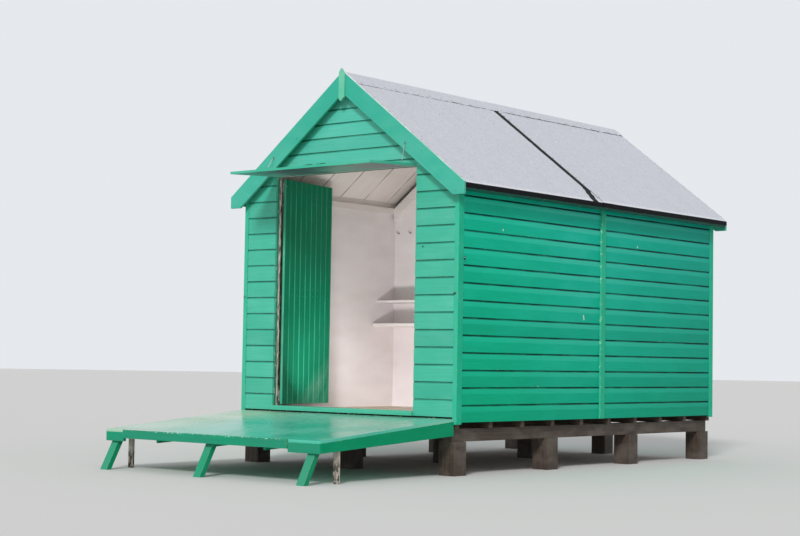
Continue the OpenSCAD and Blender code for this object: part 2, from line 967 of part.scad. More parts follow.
// Upright block over the deck's plan, with its front corners rounded
module deck_plan() {
    low_y = deck_front_y + deck_round;
    linear_extrude(deck_back_z + deck_board_t) {
        translate([-deck_half, low_y])
            square([2 * deck_half, deck_back_y - low_y]);
        translate([-deck_half + deck_round, deck_front_y])
            square([2 * (deck_half - deck_round), deck_round + 1]);
        for (side = [-1, 1])
            translate([side * (deck_half - deck_round), low_y])
                circle(r = deck_round, $fn = 64);
    }
}

module deck_boards() {
    color(hut_green)
        intersection() {
            along_x(-deck_half, deck_half)
                polygon([
                    [deck_front_y, deck_top(deck_front_y)],
                    [deck_back_y, deck_top(deck_back_y)],
                    [deck_back_y, deck_under(deck_back_y)],
                    [deck_front_y, deck_under(deck_front_y)]]);
            deck_plan();
        }
}

// Area between two depths under the surface boards and above the side boards' lower edge
module deck_depth(y0, y1) {
    polygon([
        [y0, deck_seat(y0)], [y1, deck_seat(y1)], [y1, deck_low(y1)], [y0, deck_low(y0)]]);
}

// Side boards, inner joists, and the rail that meets the hut's floor frame
module deck_frame() {
    start = deck_front_y + deck_edge_t;
    rail_half = side_x - corner_front_w - 3;
    rail_t = 45;
    places = [-deck_half, -deck_half / 2, leg_w / 2, deck_half / 2, deck_half - deck_edge_t];
    color(side_green) {
        for (x = places)
            along_x(x, x + deck_edge_t) deck_depth(start, deck_back_y);
        along_x(-rail_half, rail_half) deck_depth(front_y + clad_t - rail_t, front_y + clad_t);
    }
}

// Front rail, notched between its ends, and the facing board that covers the notched part
module deck_front_edge() {
    top = deck_seat(deck_front_y);
    low = deck_low(deck_front_y);
    notch = 24;
    facing_t = 10;
    left = -deck_half + 218;
    right = deck_half - 303;
    color(hut_green) {
        intersection() {
            along_y(deck_front_y, deck_front_y + deck_edge_t)
                polygon([
                    [-deck_half, low], [left, low], [left, low + notch],
                    [right, low + notch], [right, low], [deck_half, low],
                    [deck_half, top], [-deck_half, top]]);
            deck_plan();
        }
        block([left, deck_front_y - facing_t, low + notch],
            [right, deck_front_y, deck_top(deck_front_y)]);
    }
}

// Legs behind the front edge, leaning forward to their feet
module deck_legs() {
    start = deck_front_y + deck_edge_t + seat;
    lean = tan(leg_lean);
    foot = start - lean * deck_low(deck_front_y);
    thick = leg_t / cos(leg_lean);
    top = deck_back_z;
    color(side_green)
        for (x = [-deck_half + leg_inset, -leg_w / 2, deck_half - leg_inset - leg_w])
            along_x(x, x + leg_w)
                intersection() {
                    polygon([
                        [foot, 0], [foot + thick, 0],
                        [foot + thick + lean * top, top], [foot + lean * top, top]]);
                    polygon([
                        [foot - 1, -1], [front_y, -1], [front_y, deck_seat(front_y)],
                        [foot - 1, deck_seat(foot - 1)]]);
                }
}

// Stakes beside the side boards, split from the foot into two prongs
module deck_stakes() {
    y = front_y - 1290;
    outer = deck_half - deck_edge_t;
    middle = outer - stake_w / 2;
    color(bare_wood)
        both_sides()
            difference() {
                along_x(outer - stake_w, outer)
                    polygon([
                        [y, 0], [y + stake_t, 0], [y + stake_t, deck_seat(y + stake_t)],
                        [y, deck_seat(y)]]);
                along_y(y - 1, y + stake_t + 1)
                    polygon([
                        [middle - 8, -1], [middle + 8, -1], [middle + 3, stake_split],
                        [middle - 3, stake_split]]);
            }
}

piers();
floor_bearers();
floor_joists();
floor_boards();
end_frames();
side_frames();
cladding_front_left();
cladding_front_right();
cladding_front_gable();
cladding_sides();
cladding_back();
wall_trim();
threshold();
lining_sides();
lining_ends();
partition();
partition_rail();
wall_plates();
shelves();
hooks();
door_left();
door_left_ledges();
door_left_hinges();
door_right();
door_right_ledges();
door_right_hinges();
jamb_hinges();
flap();
flap_hinges();
flap_stays();
rafters();
purlins();
roof_boards_left();
roof_boards_right();
felt_front();
felt_back();
ridge_cap();
eave_battens();
bargeboards();
finials();
deck_boards();
deck_frame();
deck_front_edge();
deck_legs();
deck_stakes();
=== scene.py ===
# %% [markdown]
# # A timber beach hut
# The hut stands on short piers. It has shiplap walls, a felt roof, a pair of boarded doors
# that open into the room, a flap over the doorway and a sloping deck in front.
# The construction is loaded as a fixed frame. This lesson adds what a builder adds last:
# boards, nails, felt, paint and wear.

# %% Load the frame
import math
import random

import bmesh
import bpy
from mathutils import Matrix, Vector


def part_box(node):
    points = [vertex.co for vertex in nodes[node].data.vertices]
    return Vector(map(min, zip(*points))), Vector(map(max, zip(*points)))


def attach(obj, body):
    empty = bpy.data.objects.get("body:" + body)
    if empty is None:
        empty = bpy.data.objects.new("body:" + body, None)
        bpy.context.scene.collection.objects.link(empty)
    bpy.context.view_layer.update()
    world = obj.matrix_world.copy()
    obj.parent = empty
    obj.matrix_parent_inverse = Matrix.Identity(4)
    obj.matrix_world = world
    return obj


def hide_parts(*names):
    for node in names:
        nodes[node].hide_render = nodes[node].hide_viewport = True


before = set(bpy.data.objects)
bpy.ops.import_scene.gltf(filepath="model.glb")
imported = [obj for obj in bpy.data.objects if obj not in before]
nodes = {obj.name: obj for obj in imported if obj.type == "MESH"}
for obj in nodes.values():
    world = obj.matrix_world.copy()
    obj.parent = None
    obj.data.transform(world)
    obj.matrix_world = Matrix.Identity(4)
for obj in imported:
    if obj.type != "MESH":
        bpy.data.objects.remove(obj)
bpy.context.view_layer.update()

# %% [markdown]
# ## Camera
# The picture is taken from low down, a little right of the doorway, with a moderately long
# lens. A camera starts by looking straight down, so it is tipped up to the horizon, turned
# to its heading and rolled by the small lean of the picture.

# %% Camera
HEADING = math.radians(39.905)
RISE = math.radians(3.194)
LEAN = math.radians(0.934)
camera_data = bpy.data.cameras.new("camera")
camera_data.lens = 74.7
camera_data.clip_end = 500
camera = bpy.data.objects.new("camera", camera_data)
bpy.context.scene.collection.objects.link(camera)
camera.matrix_world = (
    Matrix.Translation((8.957, -10.120, 0.876))
    @ Matrix.Rotation(HEADING, 4, "Z")
    @ Matrix.Rotation(math.pi / 2 + RISE, 4, "X")
    @ Matrix.Rotation(LEAN, 4, "Z")
)
bpy.context.scene.camera = camera
print("the camera stands", round(camera.location.z, 2), "m above the ground")

# %% [markdown]
# ## Adding a node
# Every finish below is a small graph of nodes. One function adds a node: it sets the
# node's options and then fills each input, with a value or with a link from another node.
# Colours are written as they look on a screen, and a second function turns them to the
# linear values that a shader works in.

# %% Two helpers for materials
def linear(code):
    """Turns a colour such as #4bbf9f into linear red, green, blue and alpha."""
    parts = [int(code[i:i + 2], 16) / 255 for i in (1, 3, 5)]
    return [p / 12.92 if p <= 0.04045 else ((p + 0.055) / 1.055) ** 2.4 for p in parts] + [1]


def put(tree, kind, inputs=(), **settings):
    """Adds one node to a tree with its settings, and fills or links its inputs."""
    made = tree.nodes.new("ShaderNode" + kind)
    for name, value in settings.items():
        setattr(made, name, value)
    for name, value in dict(inputs).items():
        if isinstance(value, bpy.types.NodeSocket):
            tree.links.new(value, made.inputs[name])
        else:
            made.inputs[name].default_value = value
    return made


print("white is", linear("#ffffff"))

# %% [markdown]
# ## Floor and light
# A pale floor keeps the hut's shadow. One broad lamp from the front, high and a little to
# the right, gives the front its light and leaves the long side a shade darker. A weaker
# one, low and very broad, reaches into the room. The world is an even pale grey. It is
# brighter where the camera or a gloss surface looks at it, so that the background stays
# pale while the light on the hut stays plain. A third lamp lies low in the doorway and
# shines up into the room, as light thrown back by a pale floor does.

# %% Floor
bpy.ops.mesh.primitive_circle_add(vertices=96, radius=90, fill_type="NGON",
                                  location=(0, 1.8, 0))
floor = bpy.context.object
floor.name = "studio_floor"
floor_paint = bpy.data.materials.new("studio_floor_matt")
floor_paint.use_nodes = True
floor_shader = floor_paint.node_tree.nodes["Principled BSDF"]
floor_shader.inputs["Base Color"].default_value = linear("#dfdedb")
floor_shader.inputs["Roughness"].default_value = 0.9
floor_shader.inputs["Specular IOR Level"].default_value = 0.2
floor.data.materials.append(floor_paint)

# %% Lamp and world
def add_lamp(name, kind, energy, aim, at=(0, 0, 0), **settings):
    """Adds a lamp that shines against aim, the direction from the hut to the lamp."""
    lamp = bpy.data.lights.new(name, kind)
    lamp.energy = energy
    for setting, value in settings.items():
        setattr(lamp, setting, value)
    stand = bpy.data.objects.new(name, lamp)
    turn = Vector(aim).to_track_quat("Z", "Y")
    stand.matrix_world = Matrix.LocRotScale(Vector(at), turn, None)
    bpy.context.scene.collection.objects.link(stand)
    return stand


add_lamp("key", "SUN", 1.75, (0.38, -0.74, 0.55), angle=math.radians(11))
add_lamp("fill", "SUN", 0.35, (0.15, -0.96, 0.22), angle=math.radians(60))
room_lamp = add_lamp("room", "AREA", 15, (0.0, -1.4, -1.1), at=(-0.04, 0.06, 0.60),
                     shape="RECTANGLE", size=1.1, size_y=0.20, spread=math.radians(150),
                     color=(1.0, 0.95, 0.98))
room_lamp.visible_camera = False

world = bpy.data.worlds.new("pale_studio")
bpy.context.scene.world = world
world.use_nodes = True
sky = world.node_tree
sky.nodes.clear()
ray = put(sky, "LightPath").outputs
seen = put(sky, "Math", {0: ray["Is Camera Ray"], 1: ray["Is Glossy Ray"]}, operation="MAXIMUM")
seen = put(sky, "Math", {0: seen.outputs[0], 1: ray["Is Transmission Ray"]},
           operation="MAXIMUM")
lit = put(sky, "Background", {"Color": linear("#f4f6fa"), "Strength": 0.55})
shown = put(sky, "Background", {"Color": linear("#eef2f6"), "Strength": 0.92})
chosen = put(sky, "MixShader", {0: seen.outputs[0], 1: lit.outputs[0], 2: shown.outputs[0]})
put(sky, "OutputWorld", {"Surface": chosen.outputs[0]})
bpy.context.scene.view_settings.view_transform = "Standard"

# %% [markdown]
# ## Patches and edges
# Most finishes are made of patches: brush strokes are long thin ones, stains are broad
# ones. One function makes a mask of patches of a given real size. A Mapping node in
# Texture mode divides the place by that size, so the noise behind it is one patch wide.
# A second function finds the sharp edges, where paint wears off and light catches. A
# Bevel node rounds the shading there, and where its normal differs from the true one
# there is an edge. A third lays one colour over another where all its masks meet.

# %% Masks that every finish shares
def patches(tree, place, size, low, high, turn=(0, 0, 0), detail=3.0):
    """A mask of soft patches, each as long as size says in metres along X, Y and Z."""
    laid = put(tree, "Mapping", {"Vector": place, "Rotation": turn, "Scale": size},
               vector_type="TEXTURE")
    cloud = put(tree, "TexNoise", {"Vector": laid.outputs[0], "Scale": 1.0, "Detail": detail})
    return put(tree, "MapRange", {
        "Value": cloud.outputs[0], "From Min": low, "From Max": high}).outputs[0]


def edges(tree, radius):
    """The normal with its edges rounded, and a mask that is 1 along the edges."""
    soft = put(tree, "Bevel", {"Radius": radius}, samples=6).outputs[0]
    true = put(tree, "NewGeometry").outputs["Normal"]
    same = put(tree, "VectorMath", {0: soft, 1: true}, operation="DOT_PRODUCT")
    worn = put(tree, "MapRange", {
        "Value": same.outputs["Value"], "From Min": 0.985, "From Max": 0.80})
    return soft, worn.outputs[0]


def over(tree, under, top, *masks):
    """Lays one colour over another where every mask is 1. A colour is a code or a link."""
    where = masks[0]
    for mask in masks[1:]:
        where = put(tree, "Math", {0: where, 1: mask}, operation="MULTIPLY").outputs[0]
    under, top = (linear(c) if isinstance(c, str) else c for c in (under, top))
    return put(tree, "Mix", {0: where, 6: under, 7: top}, data_type="RGBA").outputs[2]


def start_material(name, roughness, ior=1.5, metallic=0.0):
    """A new material: its node tree, its shader and the object's own coordinates."""
    made = bpy.data.materials.new(name)
    made.use_nodes = True
    tree = made.node_tree
    shader = tree.nodes["Principled BSDF"]
    shader.inputs["Roughness"].default_value = roughness
    shader.inputs["IOR"].default_value = ior
    shader.inputs["Metallic"].default_value = metallic
    return made, tree, shader, put(tree, "TexCoord").outputs["Object"]


def colour_and_relief(tree, shader, colour, relief, strength, depth, rounded=None):
    """Sends a colour to the shader, and a height as bumps up to depth metres high. The
    bumps start from the normal with rounded edges, if one is given."""
    tree.links.new(colour, shader.inputs["Base Color"])
    bump = put(tree, "Bump", {"Height": relief, "Strength": strength, "Distance": depth})
    if rounded:
        tree.links.new(rounded, bump.inputs["Normal"])
    tree.links.new(bump.outputs[0], shader.inputs["Normal"])


# %% [markdown]
# ## Gloss paint on softwood
# The hut is brushed with green gloss, coat over coat. Gloss on planed softwood shows
# brush strokes about 5 mm wide along the grain, slow changes where sun and salt have
# bleached it, and small chips on the edges down to pale primer. On shiplap, dirt and
# painted shade darken the joint under each board's lip, a painted sheen lightens the
# hollow below it, and every board takes the paint a little differently. The strokes
# follow the grain, so the recipe asks how the boards lie.

# %% How the boards lie: the size of one stroke along X, Y and Z, and a turn
PITCH = math.radians(37.5)
LEVEL_BOARDS = ((0.30, 0.30, 0.005), (0, 0, 0))
UPRIGHT_BOARDS = ((0.005, 0.005, 0.30), (0, 0, 0))
SLOPING_BOARDS = ((0.30, 0.02, 0.005), (0, PITCH, 0))
DECK_BOARDS = ((0.30, 0.03, 0.02), (0, 0, 0))
FLOOR_BOARDS = ((0.005, 0.30, 0.02), (0, 0, 0))
PRIMER = "#c9cdb4"
BARE_PINE = "#a58d74"
# Joint colours, dirt and painted shade under the lip: deeper on the shaded sides and back,
# lighter on the lit front.
SIDE_JOINT_DIRT_AND_SHADE, FRONT_JOINT_DIRT_AND_SHADE = "#0a4a3e", "#2b8570"
# Painted highlight: the sky's sheen in the hollow under each board's lip.
SKY_SHEEN = "#35cba9"
# Strength of that painted sheen, where it begins and where it is full, for the front and for
# the sides.
NARROW_HOLLOW, WIDE_HOLLOW = (0.12, 0.040, 0.018), (0.50, 0.058, 0.046)

# %% Recipe for shiplap
def board_by_board(tree, place, colour, lap, sheen, wall_tone):
    """Gives each shiplap board its own tone, a painted sheen in the hollow along its top, dirt
    and painted shade in the joint, and chips on the lip. lap is the height of one joint, the
    board's cover and the colour of the joint's dirt and painted shade. sheen is the painted
    sheen's strength, where it begins and where it is full, both measured down from the
    board's top. The function given last changes the tone along the wall, painted light
    included, under the chips."""
    first, cover, joint_dirt_and_shade = lap
    strength, begins, full = sheen
    height = put(tree, "SeparateXYZ", {0: place}).outputs[2]
    count = put(tree, "Math", {0: height, 1: first}, operation="SUBTRACT").outputs[0]
    count = put(tree, "Math", {0: count, 1: cover}, operation="DIVIDE").outputs[0]
    number = put(tree, "Math", {0: count}, operation="FLOOR").outputs[0]
    within = put(tree, "Math", {0: count}, operation="FRACT").outputs[0]
    chance = put(tree, "TexWhiteNoise", {"W": number}, noise_dimensions="1D").outputs[0]
    tone = put(tree, "MapRange", {"Value": chance, "To Min": 0.93, "To Max": 1.05}).outputs[0]
    colour = put(tree, "VectorMath", {0: colour, "Scale": tone}, operation="SCALE").outputs[0]
    # Painted highlight: sky light caught in the hollow below each joint.
    hollow = put(tree, "MapRange", {
        "Value": within, "From Min": 1 - begins / cover, "From Max": 1 - full / cover})
    colour = over(tree, colour, SKY_SHEEN, hollow.outputs[0], strength)
    # Dirt and painted shade in the joint under the lip.
    joint = put(tree, "MapRange", {
        "Value": within, "From Min": 1 - 0.019 / cover, "From Max": 1 - 0.011 / cover})
    filled = patches(tree, place, (0.4, 0.4, 0.4), 0.30, 0.55)
    shown = put(tree, "MapRange", {"Value": filled, "To Min": 0.55, "To Max": 1.0})
    colour = over(tree, colour, joint_dirt_and_shade, joint.outputs[0], shown.outputs[0])
    # The tone along the wall, painted light included, goes under the chips.
    if wall_tone:
        colour = wall_tone(tree, place, colour)
    lip = put(tree, "MapRange", {"Value": within, "From Min": 0.07, "From Max": 0.0})
    flake = patches(tree, place, (0.030, 0.030, 0.010), 0.70, 0.72)
    return over(tree, colour, PRIMER, lip.outputs[0], flake)


# %% Recipe for brushed paint
def brushed_paint(name, paint, bleached, lie, lap=None, roughness=0.36, worn_to=PRIMER,
                  edge_wear=(0.52, 0.66), facing=None, zones=(), shine=0.3,
                  sheen=NARROW_HOLLOW, streak=(0.93, 1.04), relief=0.5, corner=0.003,
                  wall_tone=None, hung=None, marks=None):
    """Brushed paint. facing = (direction, colour) gives faces that look one way another
    colour, used here for painted light and shade on one side of a piece; zones = (axis,
    middle, half width, colour) do the same between two planes.
    lap, sheen and the tone along the wall are for shiplap and go to board_by_board; the
    sheen is a painted highlight and the tone along the wall holds painted light. streak is
    how dark and how pale a brush stroke gets, relief how deep it is, and shine how much the
    paint reflects. corner is the radius that the paint gives to sharp corners.
    hung = (hinge, turn) reads the pattern in a door leaf's own frame, and marks is a
    function that adds this piece's own marks to the colour."""
    made, tree, shader, place = start_material(name, roughness)
    if hung:
        place = put(tree, "Mapping", {"Vector": place, "Location": hung[0],
                    "Rotation": (0, 0, hung[1])}, vector_type="TEXTURE").outputs[0]
    stroke, turn = lie
    if turn[1]:
        place = put(tree, "VectorMath", {0: place}, operation="ABSOLUTE").outputs[0]
    colour = linear(paint)
    for axis, middle, half, other in zones:
        split = put(tree, "SeparateXYZ", {0: place}).outputs[axis]
        mask = put(tree, "Math", {0: split, 1: middle, 2: half}, operation="COMPARE")
        colour = over(tree, colour, other, mask.outputs[0])
    # Faces that look one way take another colour, as painted light and shade on that side.
    if facing:
        normal = put(tree, "TexCoord").outputs["Normal"]
        turned = put(tree, "VectorMath", {0: normal, 1: facing[0]},
                     operation="DOT_PRODUCT").outputs["Value"]
        mask = put(tree, "Math", {0: turned, 1: 0.6}, operation="GREATER_THAN").outputs[0]
        colour = over(tree, colour, facing[1], mask)
    broad = patches(tree, place, (0.50, 0.50, 0.20), 0.42, 0.74)
    colour = over(tree, colour, bleached, broad, 0.8)
    if lap:
        colour = board_by_board(tree, place, colour, lap, sheen, wall_tone)
    if marks:
        colour = marks(tree, place, colour)
    strokes = patches(tree, place, stroke, 0.35, 0.68, turn)
    shade = put(tree, "MapRange", {
        "Value": strokes, "To Min": streak[0], "To Max": streak[1]})
    colour = put(tree, "VectorMath", {0: colour, "Scale": shade.outputs[0]},
                 operation="SCALE").outputs[0]
    rounded, edge = edges(tree, corner)
    rubbed = patches(tree, place, (0.06, 0.06, 0.03), *edge_wear)
    colour = over(tree, colour, worn_to, edge, rubbed)
    rough = put(tree, "MapRange", {
        "Value": broad, "To Min": roughness - 0.05, "To Max": roughness + 0.14})
    tree.links.new(rough.outputs[0], shader.inputs["Roughness"])
    shader.inputs["Specular IOR Level"].default_value = shine
    grain = patches(tree, place, [2.4 * s for s in stroke], 0.3, 0.7, turn, detail=5.0)
    ridges = put(tree, "Math", {0: strokes, 1: grain}, operation="ADD").outputs[0]
    colour_and_relief(tree, shader, colour, ridges, relief, 0.0006, rounded)
    return made


# %% [markdown]
# ## Marks of use, and painted light
# Some marks belong to one place: a chip where something knocked the wall, a paler patch
# low on a door, dirt in the joints between ceiling boards. Others are painted light and
# shade: dark paint in the gaps by the doorway and on the ends of the floor boards, a
# deeper green on the doorway's posts, and a paler deck that is partly a painted
# reflection. Each is a mask made from the position. Chips are the places close to a
# point, and joints are the places close to a whole number of boards.

# %% Where the hut's faces and joints lie, in metres
FRONT_FACE, BACK_FACE, SIDE_FACE = -0.095, 3.825, 1.156
TRIM_FRONT, TRIM_SIDE, STRIP_SIDE, STRIP_MIDDLE = -0.099, 1.160, 1.172, 1.915
DOOR_LEFT, DOOR_RIGHT = -0.800, 0.727
CEILING_JOINT, CEILING_COVER = 1.038, 0.324
FRONT_FIRST, SIDE_FIRST, BOARD_COVER = 0.450, 0.545, 0.135
GABLE_FIRST, GABLE_COVER = 2.4695, 0.1145


# %% Masks for marks
def close_to(tree, place, points, radius):
    """A mask of small spots, one at each point."""
    nearest = 1.0
    for point in points:
        away = put(tree, "VectorMath", {0: place, 1: point}, operation="DISTANCE")
        nearest = put(tree, "Math", {0: nearest, 1: away.outputs["Value"]},
                      operation="MINIMUM").outputs[0]
    return put(tree, "MapRange", {
        "Value": nearest, "From Min": radius, "From Max": 0.6 * radius}).outputs[0]


def joints(tree, place, axis, first, cover, width):
    """A mask of lines across one axis, one at every joint between boards."""
    along = put(tree, "SeparateXYZ", {0: place}).outputs[axis]
    count = put(tree, "Math", {0: along, 1: first}, operation="SUBTRACT").outputs[0]
    count = put(tree, "Math", {0: count, 1: cover}, operation="DIVIDE").outputs[0]
    off = put(tree, "Math", {0: count, 1: 0.5}, operation="PINGPONG").outputs[0]
    return put(tree, "MapRange", {
        "Value": off, "From Min": 0.5 * width / cover,
        "From Max": 0.25 * width / cover}).outputs[0]


def painted_light_and_tone(tree, place, colour):
    """Lightens the paint towards the eaves and towards the middle of the wall, deepens it low
    down and makes it darker and bluer towards the back. The lighter top is painted light
    under the eaves and the paler middle a painted reflection of the sky. Each line below is
    an axis, where the change starts and ends along it, and what the paint is multiplied by
    there."""
    at = put(tree, "SeparateXYZ", {0: place}).outputs
    # Painted light: paler towards the eaves, and deeper low down.
    upward = (2, 0.5, 2.2, (0.60, 0.92, 0.84), (1.5, 1.05, 1.14))
    # Painted reflection of the sky: paler towards the middle of the wall.
    inward = (1, 0.4, 1.5, (0.5, 1.02, 0.97), (1.6, 1.00, 1.08))
    # Darker and bluer towards the back.
    onward = (1, 1.7, 3.8, (1, 1, 1), (0.35, 0.76, 0.78))
    for axis, start, end, near, far in (upward, inward, onward):
        part = put(tree, "MapRange", {"Value": at[axis], "From Min": start, "From Max": end})
        tone = put(tree, "Mix", {0: part.outputs[0], 4: near, 5: far}, data_type="VECTOR")
        colour = put(tree, "VectorMath", {0: colour, 1: tone.outputs[1]},
                     operation="MULTIPLY").outputs[0]
    return colour


def wall_marks(tree, place, colour):
    """Chips on the side wall, down to the primer, and a dark knock by the corner."""
    chips = close_to(tree, place, [
        (1.160, 0.477, 1.924), (1.160, 2.483, 1.914), (1.160, 1.641, 1.250),
        (1.160, 1.638, 1.264), (1.160, 1.634, 1.278), (-1.160, 0.9, 1.3),
        (-1.160, 2.7, 0.8)], 0.011)
    knock = close_to(tree, place, [(SIDE_FACE, -0.018, 1.673)], 0.017)
    return over(tree, over(tree, colour, "#c8e6d4", chips), "#0c3a30", knock)


def front_marks(tree, place, colour):
    """A dark knock on the boards beside the doorway."""
    knock = close_to(tree, place, [(0.802, FRONT_FACE, 1.768)], 0.010)
    return over(tree, colour, "#1d4f42", knock)


def gable_marks(tree, place, colour):
    """A crack along the lowest board of the gable, dark with dirt."""
    at = put(tree, "SeparateXYZ", {0: place}).outputs
    level = put(tree, "Math", {0: at[2], 1: 2.488, 2: 0.0035}, operation="COMPARE").outputs[0]
    span = put(tree, "Math", {0: at[0], 1: -0.37, 2: 0.125}, operation="COMPARE").outputs[0]
    open_part = patches(tree, place, (0.06, 0.06, 0.06), 0.42, 0.50)
    return over(tree, colour, "#1c5546", level, span, open_part)


def trim_marks(tree, place, colour):
    """A dark knock on the corner board, and flakes along the strip's front edge."""
    knock = close_to(tree, place, [(1.130, TRIM_FRONT, 1.397)], 0.011)
    colour = over(tree, colour, "#174a3d", knock)
    along = put(tree, "SeparateXYZ", {0: place}).outputs[1]
    edge = put(tree, "Math", {0: along, 1: 1.884, 2: 0.008}, operation="COMPARE").outputs[0]
    flakes = patches(tree, place, (0.07, 0.07, 0.05), 0.58, 0.66)
    return over(tree, colour, "#a5d9b0", edge, flakes)


def jamb_paint_and_shade(tree, place, colour):
    """The front's green, carried round on to the outer part of the doorway's posts and deepened
    there as painted shade, and the rest of old white paint on the part behind it."""
    at = put(tree, "SeparateXYZ", {0: place}).outputs
    left = put(tree, "Math", {0: at[0], 1: DOOR_LEFT, 2: 0.004}, operation="COMPARE").outputs[0]
    right = put(tree, "Math", {0: at[0], 1: DOOR_RIGHT, 2: 0.004},
                operation="COMPARE").outputs[0]
    face = put(tree, "Math", {0: left, 1: right}, operation="MAXIMUM").outputs[0]
    outer = put(tree, "MapRange", {"Value": at[1], "From Min": -0.048, "From Max": -0.056})
    old_white = patches(tree, place, (0.01, 0.01, 0.08), 0.40, 0.56)
    bare = over(tree, "#5e4a40", "#e6ddd0", old_white)
    chipped = patches(tree, place, (0.02, 0.02, 0.05), 0.34, 0.42)
    colour = over(tree, colour, bare, face)
    # The posts' outer part takes a deeper green: the front's paint with painted shade.
    return over(tree, colour, "#1f7f68", face, outer.outputs[0], chipped)


def lining_edge_shade(tree, place, colour):
    """Near-black painted shade, with flecks of old white, where the lining ends at the doorway.
    """
    at = put(tree, "SeparateXYZ", {0: place}).outputs
    side = put(tree, "Math", {0: at[0], 1: DOOR_LEFT, 2: 0.006}, operation="COMPARE").outputs[0]
    near = put(tree, "Math", {0: at[1], 1: -0.015}, operation="LESS_THAN").outputs[0]
    flecks = patches(tree, place, (0.01, 0.01, 0.03), 0.60, 0.64)
    # Near-black painted shade in the gap by the door, with flecks of old white.
    dirt = over(tree, "#0d0b09", "#b9a79a", flecks)
    return over(tree, colour, dirt, side, near)


def ceiling_marks(tree, place, colour):
    """Dirt in the joints of the ceiling."""
    lines = joints(tree, place, 1, CEILING_JOINT, CEILING_COVER, 0.016)
    uneven = patches(tree, place, (0.20, 0.25, 0.20), 0.36, 0.56)
    shown = put(tree, "MapRange", {"Value": uneven, "To Min": 0.25, "To Max": 0.85}).outputs[0]
    return over(tree, colour, "#847d74", lines, shown)


def deck_wear_and_painted_reflection(tree, place, colour):
    """Paler paint at the deck's left end and, less, close to the hut: partly wear, partly a
    painted reflection of the sky and of pale walls.
    """
    at = put(tree, "SeparateXYZ", {0: place}).outputs
    left_end = put(tree, "MapRange", {"Value": at[0], "From Min": -0.30, "From Max": -0.80})
    inner = put(tree, "MapRange", {"Value": at[1], "From Min": -0.75, "From Max": -0.40})
    cloudy = patches(tree, place, (0.50, 0.30, 0.3), 0.25, 0.70)
    amount = put(tree, "MapRange", {"Value": cloudy, "To Min": 0.48, "To Max": 0.68})
    # Paler close to the hut and at the left end: partly wear, partly painted reflection.
    colour = over(tree, colour, "#98d2ba", inner.outputs[0], 0.50)
    return over(tree, colour, "#c6d1b2", left_end.outputs[0], amount.outputs[0])


def step_chips(tree, place, colour):
    """Chips along the top of the deck's front edge, where feet knock it."""
    at = put(tree, "SeparateXYZ", {0: place}).outputs
    top = put(tree, "MapRange", {"Value": at[2], "From Min": 0.299, "From Max": 0.305})
    front = put(tree, "Math", {0: at[1], 1: -1.575}, operation="LESS_THAN").outputs[0]
    chips = patches(tree, place, (0.02, 0.02, 0.010), 0.61, 0.63)
    return over(tree, colour, "#b9dcc9", top.outputs[0], front, chips)


def stake_stains(tree, place, colour):
    """Black stains low on the stakes, where they stay wet."""
    at = put(tree, "SeparateXYZ", {0: place}).outputs
    low = put(tree, "MapRange", {"Value": at[2], "From Min": 0.20, "From Max": 0.10}).outputs[0]
    stains = patches(tree, place, (0.02, 0.02, 0.05), 0.47, 0.53)
    return over(tree, colour, "#3a342f", low, stains)


def end_shade(tree, place, colour):
    """Dark painted shade, with flecks of old paint, on the ends of the floor boards under the
    threshold.
    """
    at = put(tree, "SeparateXYZ", {0: place}).outputs
    ends = put(tree, "Math", {0: at[1], 1: -0.070}, operation="LESS_THAN").outputs[0]
    flakes = patches(tree, place, (0.03, 0.03, 0.01), 0.60, 0.63)
    return over(tree, colour, over(tree, "#123329", "#a9b8a0", flakes), ends)


# %% [markdown]
# ## The greens
# The front's green is paler than that of the long sides, partly because the front has had
# the most sun and partly as painted light on the lit front. The cover strips and corner
# boards are a later, yellower coat. Along the sides the paint is paler under the eaves, as
# painted light, and towards the middle, as a painted reflection of the sky. The doors are a
# darker green, and the flap is grey underneath, darkened further as painted shade.

# %% Greens of the hut
# The front's paler green is partly painted light.
front_gloss = brushed_paint("gloss_paint_brushed_front", "#43b89b", "#5cc2a8",
                            LEVEL_BOARDS, lap=(FRONT_FIRST, BOARD_COVER, FRONT_JOINT_DIRT_AND_SHADE),
                            marks=front_marks)
gable_gloss = brushed_paint("gloss_paint_brushed_gable", "#55c2ac", "#6ac8b4",
                            LEVEL_BOARDS, lap=(GABLE_FIRST, GABLE_COVER, FRONT_JOINT_DIRT_AND_SHADE),
                            marks=gable_marks)
# The sides' deeper green is partly painted shade, and their tone along the wall holds painted
# light.
side_gloss = brushed_paint("gloss_paint_brushed_side", "#02b28d", "#1cbb98",
                           LEVEL_BOARDS, lap=(SIDE_FIRST, BOARD_COVER, SIDE_JOINT_DIRT_AND_SHADE), shine=0.06,
                           sheen=WIDE_HOLLOW, edge_wear=(0.66, 0.78), wall_tone=painted_light_and_tone,
                           marks=wall_marks)
back_gloss = brushed_paint("gloss_paint_brushed_back", "#02b28d", "#1cbb98",
                           LEVEL_BOARDS, lap=(FRONT_FIRST, BOARD_COVER, SIDE_JOINT_DIRT_AND_SHADE),
                           shine=0.06, sheen=WIDE_HOLLOW, edge_wear=(0.66, 0.78))
# Faces of the corner boards that look to the front are paler: painted light on that side.
trim_gloss = brushed_paint("gloss_paint_brushed_trim", "#08b28a", "#30bb97",
                           UPRIGHT_BOARDS, facing=((0, -1, 0), "#48bd9b"),
                           zones=((1, STRIP_MIDDLE, 0.05, "#20ae86"),), shine=0.1,
                           marks=trim_marks)
# The top faces are nearly white: a painted highlight where light catches them.
barge_gloss = brushed_paint("gloss_paint_brushed_bargeboard", "#38b198", "#58bda6",
                            SLOPING_BOARDS, edge_wear=(0.40, 0.55), shine=0.2,
                            facing=((0, 0, 1), "#eefaf4"))
finial_gloss = brushed_paint("gloss_paint_brushed_finial", "#5cc3a0", "#7dccaf",
                             UPRIGHT_BOARDS)
